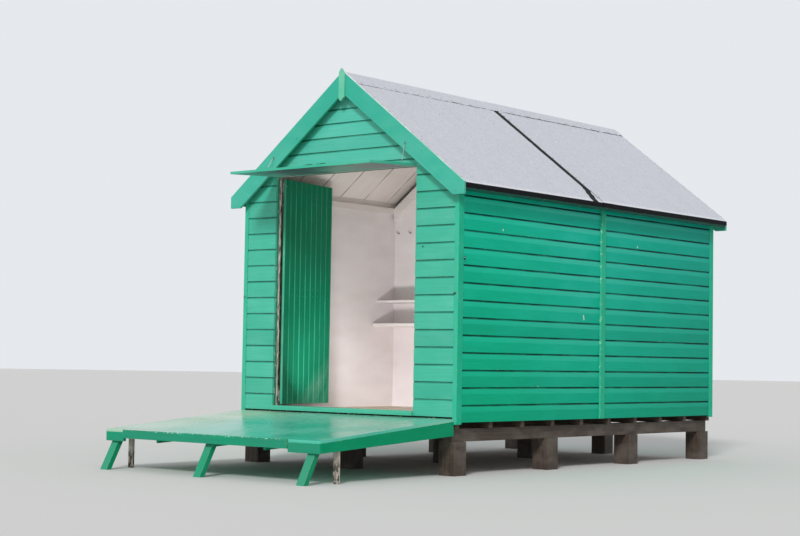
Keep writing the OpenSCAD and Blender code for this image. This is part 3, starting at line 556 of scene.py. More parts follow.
# The underside is grey paint, darkened as painted shade.
flap_gloss = brushed_paint("gloss_paint_brushed_flap", "#3cb796", "#5cc4a8",
                           LEVEL_BOARDS, facing=((0, 0, -1), "#56606a"))
step_gloss = brushed_paint("gloss_paint_chipped_threshold", "#3db897", "#63c6a8",
                           LEVEL_BOARDS, edge_wear=(0.38, 0.50))
deck_gloss = brushed_paint("gloss_paint_worn_deck", "#48bfa2", "#70c8b0", DECK_BOARDS,
                           roughness=0.24, edge_wear=(0.90, 0.95), shine=0.45,
                           relief=0.05, corner=0.0002, marks=deck_wear_and_painted_reflection)
# Faces that look to the front are paler and the sides deeper: painted light and shade.
deck_edge_gloss = brushed_paint("gloss_paint_brushed_deck_edge", "#049265", "#169d72",
                                LEVEL_BOARDS, edge_wear=(0.50, 0.62), shine=0.05,
                                facing=((0, -1, 0), "#2b9171"), marks=step_chips)
# Faces that look to the front are paler: painted light on that side.
leg_gloss = brushed_paint("gloss_paint_brushed_leg", "#078d62", "#1c9a70",
                          UPRIGHT_BOARDS, edge_wear=(0.38, 0.50), shine=0.12,
                          facing=((0, -1, 0), "#3d997a"))
# Dark green: painted shade under the eaves.
batten_gloss = brushed_paint("gloss_paint_batten_painted_shade", "#0b4b3c", "#125a48",
                             LEVEL_BOARDS, shine=0.05)
print("made", len(bpy.data.materials), "materials so far")

# %% [markdown]
# ## The doors
# Each leaf hangs open, turned 101 degrees about its hinge, so its pattern is read in its
# own frame: X runs along the leaf from the hinge and Z up from its foot. Pale lines along
# the V joints are painted highlights, and the edge that faces the front is painted pale,
# another painted highlight. Below a slanting line each leaf is a little paler, in patches.

# %% Greens of the doors
DOOR_OPEN = math.radians(101)
HINGES = {"left": Vector((DOOR_LEFT, -0.014, 0.495)),
          "right": Vector((DOOR_RIGHT, -0.014, 0.495))}
HANDS = {"left": 1, "right": -1}
LEAF_START, DOOR_COVER = 0.004, 0.08328


def leaf_marks(tree, place, colour):
    """Painted highlights along the V joints and a paler foot below a slanting line, in the
    leaf's own frame.
    """
    along = put(tree, "VectorMath", {0: place}, operation="ABSOLUTE").outputs[0]
    # Painted highlight: pale lines along the V joints, in patches.
    lines = joints(tree, along, 0, LEAF_START, DOOR_COVER, 0.017)
    highlight_patches = patches(tree, place, (0.03, 0.03, 0.3), 0.26, 0.66)
    colour = over(tree, colour, "#46b48f", lines, highlight_patches)
    # Below a slanting line the leaf is a little paler, in patches.
    axis = put(tree, "SeparateXYZ", {0: along}).outputs
    line = put(tree, "MapRange", {"Value": axis[0], "From Min": 0.20, "From Max": 0.724,
                                  "To Min": 0.0, "To Max": 0.385}).outputs[0]
    under = put(tree, "Math", {0: line, 1: axis[2]}, operation="SUBTRACT").outputs[0]
    foot = put(tree, "MapRange", {
        "Value": under, "From Min": -0.03, "From Max": 0.10}).outputs[0]
    pale_patches = patches(tree, place, (0.10, 0.10, 0.20), 0.30, 0.80, (0, 0.5, 0))
    return over(tree, colour, "#a9cbba", foot, pale_patches, 0.26)


# The edge of each leaf that faces the front is pale: a painted highlight.
door_gloss = {
    side: brushed_paint("gloss_paint_brushed_door_" + side, "#017a57", "#078260",
                        UPRIGHT_BOARDS, roughness=0.34, worn_to="#6cc09a",
                        edge_wear=(0.30, 0.55), shine=0.05, marks=leaf_marks,
                        facing=((0, -1, 0), "#74c9aa"),
                        hung=(HINGES[side], HANDS[side] * DOOR_OPEN))
    for side in HINGES}
print("made", len(bpy.data.materials), "materials with the doors")

# %% [markdown]
# ## White paint inside
# The room is brushed with a flat white that has yellowed a little. Flat paint has no
# clear reflection, so its roughness is high. It has rubbed through to the wood on edges.

# %% Whites of the room
wall_white = brushed_paint("flat_paint_brushed_white_walls", "#f1eaea", "#e5dddc",
                           UPRIGHT_BOARDS, roughness=0.62, worn_to=BARE_PINE,
                           edge_wear=(0.62, 0.72), streak=(0.98, 1.01), relief=0.08,
                           marks=lining_edge_shade)
beam_white = brushed_paint("flat_paint_brushed_white_beams", "#efe8e5", "#ddd4cf",
                           ((0.30, 0.30, 0.01), (0, 0, 0)), roughness=0.6,
                           worn_to=BARE_PINE, edge_wear=(0.56, 0.70))
ceiling_white = brushed_paint("flat_paint_brushed_white_ceiling", "#e8e0db", "#d7cdc7",
                              ((0.30, 0.01, 0.30), (0, 0, 0)), roughness=0.66,
                              worn_to=BARE_PINE, edge_wear=(0.60, 0.72), relief=0.25,
                              marks=ceiling_marks)

# %% [markdown]
# ## Bare and tarred timber
# Sawn softwood shows dark late-wood lines about 8 mm apart along the grain, finer fibres
# between them, and here and there a knot. In salt air it turns grey in patches. The
# supports are tarred, which darkens the wood and fills its grain. The joists and the tarred
# supports are darker still as painted shade, for they stand under the hut.

# %% Recipe for timber
def timber(name, early, late, weathered, lie, roughness=0.75, marks=None):
    """Sawn softwood with its grain along the longest stroke of lie."""
    made, tree, shader, place = start_material(name, roughness)
    stroke, turn = lie
    rings = patches(tree, place, [1.8 * s for s in stroke], 0.42, 0.60, turn)
    fibres = patches(tree, place, [0.6 * s for s in stroke], 0.30, 0.72, turn, detail=5.0)
    colour = over(tree, early, late, rings)
    colour = over(tree, colour, weathered,
                  patches(tree, place, (0.25, 0.25, 0.12), 0.45, 0.65))
    knot_bed = put(tree, "Mapping", {
        "Vector": place, "Rotation": turn, "Scale": [max(s, 0.09) for s in stroke]},
        vector_type="TEXTURE").outputs[0]
    knots = put(tree, "TexVoronoi", {"Vector": knot_bed, "Scale": 0.8}).outputs["Distance"]
    knot = put(tree, "MapRange", {"Value": knots, "From Min": 0.11, "From Max": 0.06})
    colour = over(tree, colour, "#4a3526", knot.outputs[0])
    shade = put(tree, "MapRange", {"Value": fibres, "To Min": 0.78, "To Max": 1.1})
    colour = put(tree, "VectorMath", {0: colour, "Scale": shade.outputs[0]},
                 operation="SCALE").outputs[0]
    if marks:
        colour = marks(tree, place, colour)
    rounded, _ = edges(tree, 0.003)
    grain = put(tree, "Math", {0: fibres, 1: rings}, operation="ADD").outputs[0]
    colour_and_relief(tree, shader, colour, grain, 0.7, 0.0012, rounded)
    return made


# %% Timbers of the hut
frame_wood = timber("softwood_sawn_frame", "#94796a", "#5e4a3e", "#7d6f67", UPRIGHT_BOARDS,
                    marks=jamb_paint_and_shade)
# The joists are dark, as painted shade under the hut.
joist_wood = timber("softwood_sawn_joists", "#5b4b3c", "#43362a", "#4d463e", LEVEL_BOARDS)
floor_wood = timber("softwood_planed_floor", "#c9bba6", "#ad9780", "#bcb6ac", FLOOR_BOARDS,
                    marks=end_shade)
# Tar darkens the supports, and they are darker still as painted shade under the hut.
tarred_wood = timber("softwood_tarred", "#4c3d32", "#362b23", "#5d5249",
                     UPRIGHT_BOARDS, roughness=0.62)
tarred_beam = timber("softwood_tarred_bearers", "#4c3d32", "#362b23", "#5d5249",
                     LEVEL_BOARDS, roughness=0.62)
stake_wood = timber("softwood_weathered_stake", "#cfc4b8", "#a49687", "#d6cfc6",
                    UPRIGHT_BOARDS, roughness=0.85, marks=stake_stains)

# %% [markdown]
# ## Roofing felt and bitumen
# The felt is a mat soaked in bitumen and faced with crushed slate. The slate grains are
# 1 to 2 mm across. Drawn at that size they vanish, so they are drawn at 8 mm. Years of
# rain leave long pale and dark runs down the slope, and bare spots where grains are lost.
# Just above the fold the felt is a little paler, a painted highlight where it turns over the
# eave. At a cut or folded edge the black bitumen shows, a little shinier than the face; on
# the fold at the eave and along the cap's lower edge that black is also painted shade.

# %% Felt and bitumen
felt_face, tree, shader, place = start_material("felt_slate_faced", 0.92)
grains = put(tree, "TexVoronoi", {"Vector": place, "Scale": 1 / 0.008}).outputs
tone = put(tree, "SeparateXYZ", {0: grains["Color"]}).outputs[0]
shade = put(tree, "MapRange", {"Value": tone, "To Min": 0.86, "To Max": 1.08}).outputs[0]
runs = patches(tree, place, (0.9, 0.14, 0.9), 0.42, 0.78)
clouds = patches(tree, place, (0.05, 0.05, 0.05), 0.36, 0.66, detail=6.0)
colour = over(tree, "#cfd1d9", "#bfc1ca", runs, 0.22)
colour = over(tree, colour, "#dcdce2", clouds, 0.35)
bald = patches(tree, place, (0.035, 0.05, 0.035), 0.735, 0.76)
colour = over(tree, colour, "#74767e", bald, 0.7)
lime = patches(tree, place, (0.04, 0.03, 0.04), 0.725, 0.745)
colour = over(tree, colour, "#ececee", lime)
across = put(tree, "VectorMath", {0: place}, operation="ABSOLUTE").outputs[0]
across = put(tree, "SeparateXYZ", {0: across}).outputs[0]
# Painted highlight along the fold at the eave.
fold_highlight = put(tree, "MapRange", {
    "Value": across, "From Min": 1.225, "From Max": 1.250}).outputs[0]
colour = over(tree, colour, "#ebecf1", fold_highlight, 0.6)
colour = put(tree, "VectorMath", {0: colour, "Scale": shade}, operation="SCALE").outputs[0]
colour_and_relief(tree, shader, colour, tone, 0.6, 0.0015)

bitumen, tree, shader, place = start_material("bitumen_poured", 0.55, ior=1.6)
shader.inputs["Specular IOR Level"].default_value = 0.05
drips = patches(tree, place, (0.03, 0.03, 0.015), 0.35, 0.70)
colour = over(tree, "#0a0b0e", "#17181c", drips)
colour_and_relief(tree, shader, colour, drips, 0.8, 0.002)

# %% [markdown]
# ## Galvanised steel
# Hooks, hinges and nails are dipped in zinc. Fresh zinc has bright spangles about 8 mm
# across. By the sea it dulls to grey, and rust comes through in spots. Metal is fully
# metallic and rust is not, so one mask drives the colour, the metallic and the roughness.

# %% Zinc with rust
def zinc(name, bright, rust_from):
    """Hot-dipped zinc, dulled, with rust where the mask passes rust_from."""
    made, tree, shader, place = start_material(name, 0.45, metallic=1.0)
    spangle = put(tree, "TexVoronoi", {"Vector": place, "Scale": 1 / 0.008}).outputs["Color"]
    tone = put(tree, "SeparateXYZ", {0: spangle}).outputs[0]
    shade = put(tree, "MapRange", {"Value": tone, "To Min": 0.8, "To Max": 1.05}).outputs[0]
    colour = put(tree, "VectorMath", {0: linear(bright)[:3], "Scale": shade},
                 operation="SCALE").outputs[0]
    rust = patches(tree, place, (0.012, 0.012, 0.012), rust_from, rust_from + 0.06)
    colour = over(tree, colour, "#6f452d", rust)
    metal = put(tree, "Math", {0: 1.0, 1: rust}, operation="SUBTRACT").outputs[0]
    tree.links.new(metal, shader.inputs["Metallic"])
    rough = put(tree, "MapRange", {"Value": rust, "To Min": 0.42, "To Max": 0.85}).outputs[0]
    tree.links.new(rough, shader.inputs["Roughness"])
    colour_and_relief(tree, shader, colour, rust, 0.5, 0.0008)
    return made


fitting_zinc = zinc("steel_hot_dip_galvanised", "#b4b9bb", 0.58)
nail_zinc = zinc("steel_galvanised_nails", "#9a9fa0", 0.48)
print("made", len(bpy.data.materials), "materials in all")

# %% Send the finishes to the pieces of the frame
def dress(material, *names):
    """Gives CAD pieces a material in place of the plain one they came with."""
    for name in names:
        slots = nodes[name].data.materials
        slots.clear()
        slots.append(material)


dress(front_gloss, "cladding_front_left", "cladding_front_right")
dress(gable_gloss, "cladding_front_gable")
dress(side_gloss, "cladding_sides")
dress(batten_gloss, "eave_battens")
dress(back_gloss, "cladding_back")
dress(trim_gloss, "wall_trim")
dress(barge_gloss, "bargeboards")
dress(finial_gloss, "finials")
dress(flap_gloss, "flap")
dress(step_gloss, "threshold")
dress(deck_edge_gloss, "deck_front_edge", "deck_frame")
dress(leg_gloss, "deck_legs")
for side in HINGES:
    dress(door_gloss[side], f"door_{side}", f"door_{side}_ledges")
dress(stake_wood, "deck_stakes")
dress(wall_white, "lining_sides", "lining_ends", "partition")
dress(beam_white, "partition_rail", "wall_plates", "shelves", "purlins", "rafters")
dress(frame_wood, "end_frames", "side_frames")
dress(joist_wood, "floor_joists")
dress(tarred_wood, "piers")
dress(tarred_beam, "floor_bearers")
dress(fitting_zinc, "hooks", "door_left_hinges", "door_right_hinges", "jamb_hinges",
      "flap_hinges", "flap_stays")

# %% [markdown]
# ## Modelling by hand, in code
# Each new piece starts as a primitive at its size and place. Then it is opened in edit
# mode, faces or edges are chosen by where they are or which way they look, and an
# operator shapes them. Modifiers finish it and are applied. Operators act on everything
# that is selected, so each helper deselects everything first.

# %% Helpers for modelling
def clear():
    """Leaves edit mode and deselects everything."""
    if bpy.context.mode != "OBJECT":
        bpy.ops.object.mode_set(mode="OBJECT")
    bpy.ops.object.select_all(action="DESELECT")


def take(*pieces):
    """Selects only these pieces; the first is the active one."""
    clear()
    for piece in pieces:
        piece.select_set(True)
    bpy.context.view_layer.objects.active = pieces[0]


def start_block(name, low, high):
    """Adds a cube that fills the space between two corners."""
    clear()
    low, high = Vector(low), Vector(high)
    bpy.ops.mesh.primitive_cube_add(size=1, location=(low + high) / 2, scale=high - low)
    bpy.ops.object.transform_apply(location=True, rotation=True, scale=True)
    piece = bpy.context.object
    piece.name = piece.data.name = name
    return piece


def choose(piece, kind, test):
    """Opens a piece in edit mode with only the verts, edges or faces that pass the test.
    The test gets the middle of each, and its normal or, for an edge, its direction."""
    take(piece)
    bpy.ops.object.mode_set(mode="EDIT")
    bpy.ops.mesh.select_mode(type=kind[:-1].upper())
    bpy.ops.mesh.select_all(action="DESELECT")
    shape = bmesh.from_edit_mesh(piece.data)
    for part in getattr(shape, kind):
        if kind == "verts":
            at, way = part.co, part.normal
        elif kind == "edges":
            a, b = (v.co for v in part.verts)
            at, way = (a + b) / 2, (b - a).normalized()
        else:
            at, way = part.calc_center_median(), part.normal
        if test(at, way):
            part.select_set(True)
    bmesh.update_edit_mesh(piece.data)


def finish_with(piece, kind, **settings):
    """Adds a modifier with its settings and applies it."""
    take(piece)
    step = piece.modifiers.new(kind.lower(), kind)
    for name, value in settings.items():
        setattr(step, name, value)
    bpy.ops.object.modifier_apply(modifier=step.name)


def trim(piece, at, way, fill=True):
    """Cuts a piece flat at a point and throws away what lies beyond it, along way."""
    choose(piece, "faces", lambda *_: True)
    bpy.ops.mesh.bisect(plane_co=at, plane_no=way, use_fill=fill, clear_outer=True)
    clear()


def lay(piece, turn=(0, 0, 0), at=(0, 0, 0)):
    """Turns and moves a piece, and keeps that in its mesh."""
    take(piece)
    piece.rotation_euler, piece.location = turn, at
    bpy.ops.object.transform_apply(location=True, rotation=True, scale=True)


def copies(piece, name, places):
    """Copies a modelled piece to each place, every copy with its own mesh, and joins them."""
    made = []
    for place in places:
        twin = bpy.data.objects.new(name, piece.data.copy())
        twin.data.transform(place)
        bpy.context.scene.collection.objects.link(twin)
        made.append(twin)
    bpy.data.objects.remove(piece)
    take(*made)
    bpy.ops.object.join()
    whole = bpy.context.object
    whole.name = whole.data.name = name
    return whole


def hand_over(piece, material, body, slot, *stands_for, angle=30):
    """Gives a finished piece its material and its body, and smooths its bends. slot is not
    used.
    """
    take(piece)
    if angle:
        bpy.ops.object.shade_smooth_by_angle(angle=math.radians(angle))
    if material:
        piece.data.materials.clear()
        piece.data.materials.append(material)
    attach(piece, body)
    if stands_for:
        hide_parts(*stands_for)
    clear()
    print(piece.name, "has", len(piece.data.polygons), "faces")


# %% [markdown]
# ## Roof boards
# The ceiling of the room is the underside of the roof boards. They run down the slope,
# and each covers 324 mm. One board is a block with its lower long edges bevelled, which
# makes the V joint. An Array repeats it along the roof, the ends are cut plumb with
# bisect, and a Mirror makes the other slope.

# %% Roof boards
low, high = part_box("roof_boards_right")
PEAK, EAVE = high.z, high.x
ROOF_JOINT = 0.0018
roof_boards = start_block("roof_boards", (-0.05, 0, -0.018),
                          (1.75, CEILING_COVER - ROOF_JOINT, 0))
choose(roof_boards, "edges", lambda at, way: abs(way.x) > 0.5 and at.z < -0.01)
bpy.ops.mesh.bevel(offset=0.003, segments=1)
finish_with(roof_boards, "ARRAY", count=13, use_relative_offset=False,
            use_constant_offset=True, constant_offset_displace=(0, CEILING_COVER, 0))
lay(roof_boards, turn=(0, PITCH, 0), at=(0, CEILING_JOINT - 4 * CEILING_COVER, PEAK))
trim(roof_boards, (0, 0, 0), (-1, 0, 0))
trim(roof_boards, (EAVE - 0.004, 0, 0), (1, 0, 0))
trim(roof_boards, (0, low.y, 0), (0, -1, 0))
trim(roof_boards, (0, high.y, 0), (0, 1, 0))
finish_with(roof_boards, "MIRROR", use_mirror_merge=False)
hand_over(roof_boards, ceiling_white, "hut", "inside_paint",
          "roof_boards_left", "roof_boards_right", angle=0)

# %% [markdown]
# ## Floor boards
# Floor boards run from front to back, square to the joists, about 120 mm wide. Their top
# edges are eased a little, so the joints read as fine lines.

# %% Floor boards
low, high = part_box("floor_boards")
FLOOR_COUNT = 19
cover = (high.x - low.x) / FLOOR_COUNT
floor_boards = start_block("floor_planks", low, (low.x + cover - 0.001, high.y, high.z))
choose(floor_boards, "edges", lambda at, way: abs(way.y) > 0.5 and at.z > high.z - 0.001)
bpy.ops.mesh.bevel(offset=0.0015, segments=1)
finish_with(floor_boards, "ARRAY", count=FLOOR_COUNT, use_relative_offset=False,
            use_constant_offset=True, constant_offset_displace=(cover, 0, 0))
hand_over(floor_boards, floor_wood, "hut", "inside_paint", "floor_boards", angle=0)

# %% [markdown]
# ## Deck boards
# The deck's boards lie across it, on joists that run out from the hut. The front board
# is made by itself: its two front corners are rounded and its nose is worn round. The
# others are one board and an Array. All of them are tipped together to the deck's slope.

# %% Deck boards
low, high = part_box("deck_boards")
DECK_THICK, DECK_COUNT, DECK_GAP = 0.020, 11, 0.0004
DECK_FALL, DECK_RUN = 0.128, 1.510
DECK_ANGLE = math.atan2(DECK_FALL, DECK_RUN)
run = (high.y - low.y) / math.cos(DECK_ANGLE) - 0.001
cover = run / DECK_COUNT
nose = start_block("deck_planks", (low.x, 0, -DECK_THICK), (high.x, cover - DECK_GAP, 0))
choose(nose, "edges", lambda at, way: abs(way.z) > 0.5 and at.y < 0.01)
bpy.ops.mesh.bevel(offset=0.024, segments=6)
choose(nose, "edges", lambda at, way: at.z > -0.001 and at.y < cover - 0.01)
bpy.ops.mesh.bevel(offset=0.004, segments=3)
clear()
plank = start_block("plank", (low.x, cover, -DECK_THICK), (high.x, 2 * cover - DECK_GAP, 0))
choose(plank, "edges", lambda at, way: at.z > -0.001)
bpy.ops.mesh.bevel(offset=0.0003, segments=1)
finish_with(plank, "ARRAY", count=DECK_COUNT - 1, use_relative_offset=False,
            use_constant_offset=True, constant_offset_displace=(0, cover, 0))
take(nose, plank)
bpy.ops.object.join()
deck_planks = nose
DECK_NOSE_Z = high.z - math.sin(DECK_ANGLE) * (run - DECK_GAP) - 0.0003
lay(deck_planks, turn=(DECK_ANGLE, 0, 0), at=(0, low.y, DECK_NOSE_Z))
hand_over(deck_planks, deck_gloss, "hut", "hut_paint", "deck_boards")

# %% [markdown]
# ## Roofing felt
# The felt is laid in two sheets that lap halfway along, with a strip over the ridge. One
# half sheet is a grid on the slope. Its lowest row of edges is extruded round a soft
# shoulder at the eave and then straight down. Bisect cuts the sheets at the lap. A cloud
# texture moves the felt in and out by up to 1 mm, because felt never lies quite flat. Then
# Solidify gives it its 3 mm and Mirror makes the other slope.

# %% Half a sheet
FELT = 0.003
SHOULDER = 0.020
FOLD_X, FOLD_Z = EAVE - 0.0015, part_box("felt_front")[0].z
VERGE_FRONT, VERGE_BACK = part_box("felt_front")[0].y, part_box("felt_back")[1].y
FALL = math.pi / 2 - PITCH
RIDGE_LAP = Vector((0, 1.775, 0))
LAP_WAY = Vector((0.010, 1.258, 0)).normalized()
ripples = bpy.data.textures.new("felt_ripples", "CLOUDS")
ripples.noise_scale = 0.28


def half_sheet(name, reach, rows, columns):
    """One slope's felt, level at first, from the ridge to reach along the slope."""
    clear()
    length = VERGE_BACK - VERGE_FRONT
    bpy.ops.mesh.primitive_grid_add(
        x_subdivisions=columns, y_subdivisions=rows, size=1,
        location=(reach / 2, VERGE_FRONT + length / 2, 0))
    sheet = bpy.context.object
    sheet.name = sheet.data.name = name
    sheet.scale = (reach, length, 1)
    bpy.ops.object.transform_apply(location=True, rotation=True, scale=True)
    return sheet


def fold_down(sheet, reach):
    """Bends the lower edge round the shoulder and down the face of the eave."""
    choose(sheet, "edges", lambda at, way: at.x > reach - 0.001)
    steps = 5
    chord = 2 * SHOULDER * math.sin(FALL / steps / 2)
    for i in range(steps):
        angle = FALL * (i + 0.5) / steps
        bpy.ops.mesh.extrude_region_move(TRANSFORM_OT_translate={
            "value": (chord * math.cos(angle), 0, -chord * math.sin(angle))})
    drop = PEAK - FOLD_X * math.tan(PITCH) - FOLD_Z - SHOULDER * math.tan(FALL / 2)
    for i in range(2):
        bpy.ops.mesh.extrude_region_move(TRANSFORM_OT_translate={
            "value": (drop / 2 * math.cos(FALL), 0, -drop / 2 * math.sin(FALL))})
    clear()


def finish_sheet(sheet, lift, thick):
    """Ripples a sheet that lies on the slope, thickens it and mirrors it."""
    choose(sheet, "verts", lambda *_: True)
    bpy.ops.transform.shrink_fatten(value=lift)
    clear()
    finish_with(sheet, "DISPLACE", texture=ripples, texture_coords="LOCAL",
                strength=0.002, mid_level=0.50)
    choose(sheet, "verts", lambda at, way: at.x < 0.008)
    bpy.ops.transform.resize(value=(0, 1, 1), center_override=(0, 0, 0))
    clear()
    finish_with(sheet, "SOLIDIFY", thickness=thick, offset=1)
    finish_with(sheet, "MIRROR", merge_threshold=0.001)


# %% The two sheets
SLOPE_REACH = FOLD_X / math.cos(PITCH) - SHOULDER * math.tan(FALL / 2)


def slope_part(name, rows, columns, from_lap=None, to_lap=None):
    """Half a sheet on the slope, from one line along the lap to another."""
    sheet = half_sheet(name, SLOPE_REACH, rows, columns)
    fold_down(sheet, SLOPE_REACH)
    lay(sheet, turn=(0, PITCH, 0), at=(0, 0, PEAK))
    if from_lap is not None:
        trim(sheet, RIDGE_LAP + Vector((0, from_lap, 0)), -LAP_WAY, fill=False)
    if to_lap is not None:
        trim(sheet, RIDGE_LAP + Vector((0, to_lap, 0)), LAP_WAY, fill=False)
    return sheet


front_felt = slope_part("felt_sheet_front", 64, 24, to_lap=0.075)
finish_sheet(front_felt, 0.0, FELT)

back_felt = slope_part("felt_sheet_back", 64, 24, from_lap=0.0)
for reach in (0.20, 0.12):
    choose(back_felt, "verts", lambda at, way: (at - RIDGE_LAP).dot(LAP_WAY) < reach)
    bpy.ops.transform.shrink_fatten(value=FELT / 2)
finish_sheet(back_felt, 0.0, FELT)
print("the sheets reach", round(max(v.co.x for v in back_felt.data.vertices), 4), "m out")

# %% [markdown]
# Where the sheets lap, hot bitumen was brushed along the edge. It is a narrow strip of the
# same slope, a little proud of the felt, with its two long edges made uneven by moving
# their points at random. Near the eave the brush strayed towards the front, so the strip's
# foot is pulled that way in steps. A strip of felt, laid a little crooked, caps the ridge:
# it is wider at the front than at the back.

# %% Bitumen along the lap, and the strip over the ridge
TAR_LOW, TAR_HIGH = -0.064, 0.012
lap_tar = slope_part("felt_lap_tar", 360, 60, from_lap=TAR_LOW, to_lap=TAR_HIGH)
trim(lap_tar, (0.100, 0, 0), (-1, 0, 0), fill=False)
for side in (TAR_LOW, TAR_HIGH):
    choose(lap_tar, "verts", lambda at, way: abs(
        (at - RIDGE_LAP - Vector((0, side, 0))).dot(LAP_WAY)) < 0.0005)
    bpy.ops.transform.vertex_random(offset=0.003, uniform=0, normal=0,
                                    seed=int(side * 1000) % 9)
for reach in (1.10, 1.13, 1.16, 1.19, 1.22):
    choose(lap_tar, "verts", lambda at, way: at.x > reach)
    bpy.ops.transform.translate(value=(0, -0.018, 0))
trim(lap_tar, (FOLD_X - 0.0015, 0, 0), (1, 0, 0), fill=False)
finish_sheet(lap_tar, FELT, 0.0025)

CAP_FRONT, CAP_BACK = 0.145, 0.092
CAP_WAY = Vector((VERGE_BACK - VERGE_FRONT, CAP_FRONT - CAP_BACK, 0)).normalized()
CAP_CORNER = Vector((CAP_FRONT, VERGE_FRONT, 0))
cap = half_sheet("felt_ridge_strip", CAP_FRONT / math.cos(PITCH), 260, 6)
lay(cap, turn=(0, PITCH, 0), at=(0, 0, PEAK))
trim(cap, CAP_CORNER, CAP_WAY, fill=False)
choose(cap, "verts", lambda at, way: abs((at - CAP_CORNER).dot(CAP_WAY)) < 0.0005)
bpy.ops.transform.vertex_random(offset=0.005, uniform=0, normal=0, seed=4)
choose(cap, "verts", lambda at, way: at.y > 1.73)
bpy.ops.transform.shrink_fatten(value=FELT)
finish_sheet(cap, FELT, FELT)


# %% Bitumen at the cut edges, and bitumen with painted shade on the fold and the cap's edge
def tar_and_shade_where(sheet, test):
    """Gives the faces that pass the test the sheet's second material, bitumen, which on the
    eave's fold and the cap's lower edge also stands for painted shade.
    """
    sheet.data.materials.append(felt_face)
    sheet.data.materials.append(bitumen)
    choose(sheet, "faces", test)
    sheet.active_material_index = 1
    bpy.ops.object.material_slot_assign()
    clear()


# On the fold at the eave the black is bitumen and painted shade; at the verges' cut edges it is
# bitumen.
tar_and_shade_where(front_felt, lambda at, way: abs(way.x) > 0.93 or abs(way.y) > 0.7)
tar_and_shade_where(back_felt, lambda at, way: abs(way.x) > 0.93 or abs(way.y) > 0.7)
# Dashes of black on the cap's lower edge: painted shade under its uneven edge.
tar_and_shade_where(cap, lambda at, way: abs(way.y) > 0.7 or (
    way.z < 0.6 and math.sin(23 * at.y) + math.sin(57 * at.y) > -0.4))
hand_over(front_felt, None, "hut", "roofing_felt", "felt_front")
hand_over(back_felt, None, "hut", "roofing_felt", "felt_back")
hand_over(cap, None, "hut", "roofing_felt", "ridge_cap")
hand_over(lap_tar, bitumen, "hut", "roofing_felt")

# %% [markdown]
# ## Nails
# The boards are nailed to every stud, about 27 mm above each lower edge, and painted over.
# A few heads have lost their paint and rust. One head is a cylinder whose top is inset and
# raised into a low dome. It is copied to every place, turned to face outwards, with a small
# random shift, because nobody nails to a ruler. The felt is held by larger clout nails.

# %% One head, and a way to place it
chance = random.Random(11)
NAIL_UP, GABLE_NAIL_UP = 0.027, 0.022


def nail_head(radius, rise):
    """A low dome on the ground, facing up, with its rim just sunk."""
    clear()
    bpy.ops.mesh.primitive_cylinder_add(vertices=8, radius=radius, depth=rise,
                                        location=(0, 0, rise * 0.3))
    bpy.ops.object.transform_apply(location=True, rotation=True, scale=True)
    head = bpy.context.object
    choose(head, "faces", lambda at, way: way.z > 0.9)
    bpy.ops.mesh.inset(thickness=0.45 * radius)
    bpy.ops.transform.translate(value=(0, 0, 0.5 * rise))
    clear()
    return head


def nail_on(name, spots, material, body="hut", slot="galvanised_steel", radius=0.0034,
            rise=0.0012, shift=0.0015):
    """Drives one nail at each spot, a point and the direction it faces."""
    places = []
    for at, way in spots:
        turn = Vector(way).to_track_quat("Z", "Y").to_matrix().to_4x4()
        drift = (chance.uniform(-shift, shift), chance.uniform(-shift, shift), 0)
        places.append(Matrix.Translation(at) @ turn @ Matrix.Translation(drift))
    whole = copies(nail_head(radius, rise), name, places)
    hand_over(whole, material, body, slot)


def roof_height(x):
    """Height of the roof boards' top at a distance from the middle."""
    return PEAK - math.tan(PITCH) * abs(x)


def rows(first, top):
    """Heights of the nails on boards that start at first, up to top."""
    return [z for z in (first + BOARD_COVER * k + NAIL_UP for k in range(-1, 16)) if z < top]


# %% Nails in the walls
STUDS = [-0.0075 + 0.468125 * i for i in range(9) if i not in (0, 4)] + [0.035, 1.866, 1.964]
walls = []
for x in (-1.095, -0.8225, 0.752, 1.095):
    top = min(2.36, roof_height(x) - 0.26)
    walls += [((x, FRONT_FACE, z), (0, -1, 0)) for z in rows(FRONT_FIRST, top) if z > 0.46]
for k in range(5):
    z = GABLE_FIRST + GABLE_COVER * k + GABLE_NAIL_UP
    walls += [((x, FRONT_FACE, z), (0, -1, 0)) for x in (-0.52, 0.0, 0.52)
              if abs(x) < (PEAK - 0.24 - z) / math.tan(PITCH)]
for i in range(6):
    x = -1.1 + 0.44 * i
    top = roof_height(x) - 0.26
    walls += [((x, BACK_FACE, z), (0, 1, 0)) for z in rows(FRONT_FIRST, top) if z > 0.46]
nail_on("nails_front_and_back", walls, front_gloss, slot="hut_paint")
sides = [((SIDE_FACE * side, y, z), (side, 0, 0)) for side in (-1, 1) for y in STUDS
         for z in rows(SIDE_FIRST, 2.16) if z > 0.42]
nail_on("nails_sides", sides, side_gloss, slot="side_paint")
bare = chance.sample(walls, 7) + chance.sample(sides, 12)
nail_on("nails_bare", bare, nail_zinc, radius=0.0040, rise=0.0018)

# %% Nails in the trim, the bargeboards and the threshold
trim_rows = [0.47 + 0.31 * k for k in range(6)]
trims = [((x, TRIM_FRONT, z), (0, -1, 0)) for x in (-1.141, 1.141) for z in trim_rows]
for side in (-1, 1):
    trims += [((TRIM_SIDE * side, y, z), (side, 0, 0)) for y in (-0.068, 3.798)
              for z in trim_rows]
    trims += [((STRIP_SIDE * side, STRIP_MIDDLE + off, 0.50 + 0.27 * k), (side, 0, 0))
              for k in range(7) for off in (-0.018, 0.018)]
nail_on("nails_trim", trims, trim_gloss, slot="side_paint")
barges = []
for y, way in ((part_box("bargeboards")[0].y, -1), (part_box("bargeboards")[1].y, 1)):
    for x in (0.16, 0.50, 0.84, 1.18):
        for down in (0.055, 0.125):
            barges += [((x * side, y, roof_height(x) - down), (0, way, 0)) for side in (-1, 1)]
nail_on("nails_bargeboards", barges, barge_gloss, slot="hut_paint")
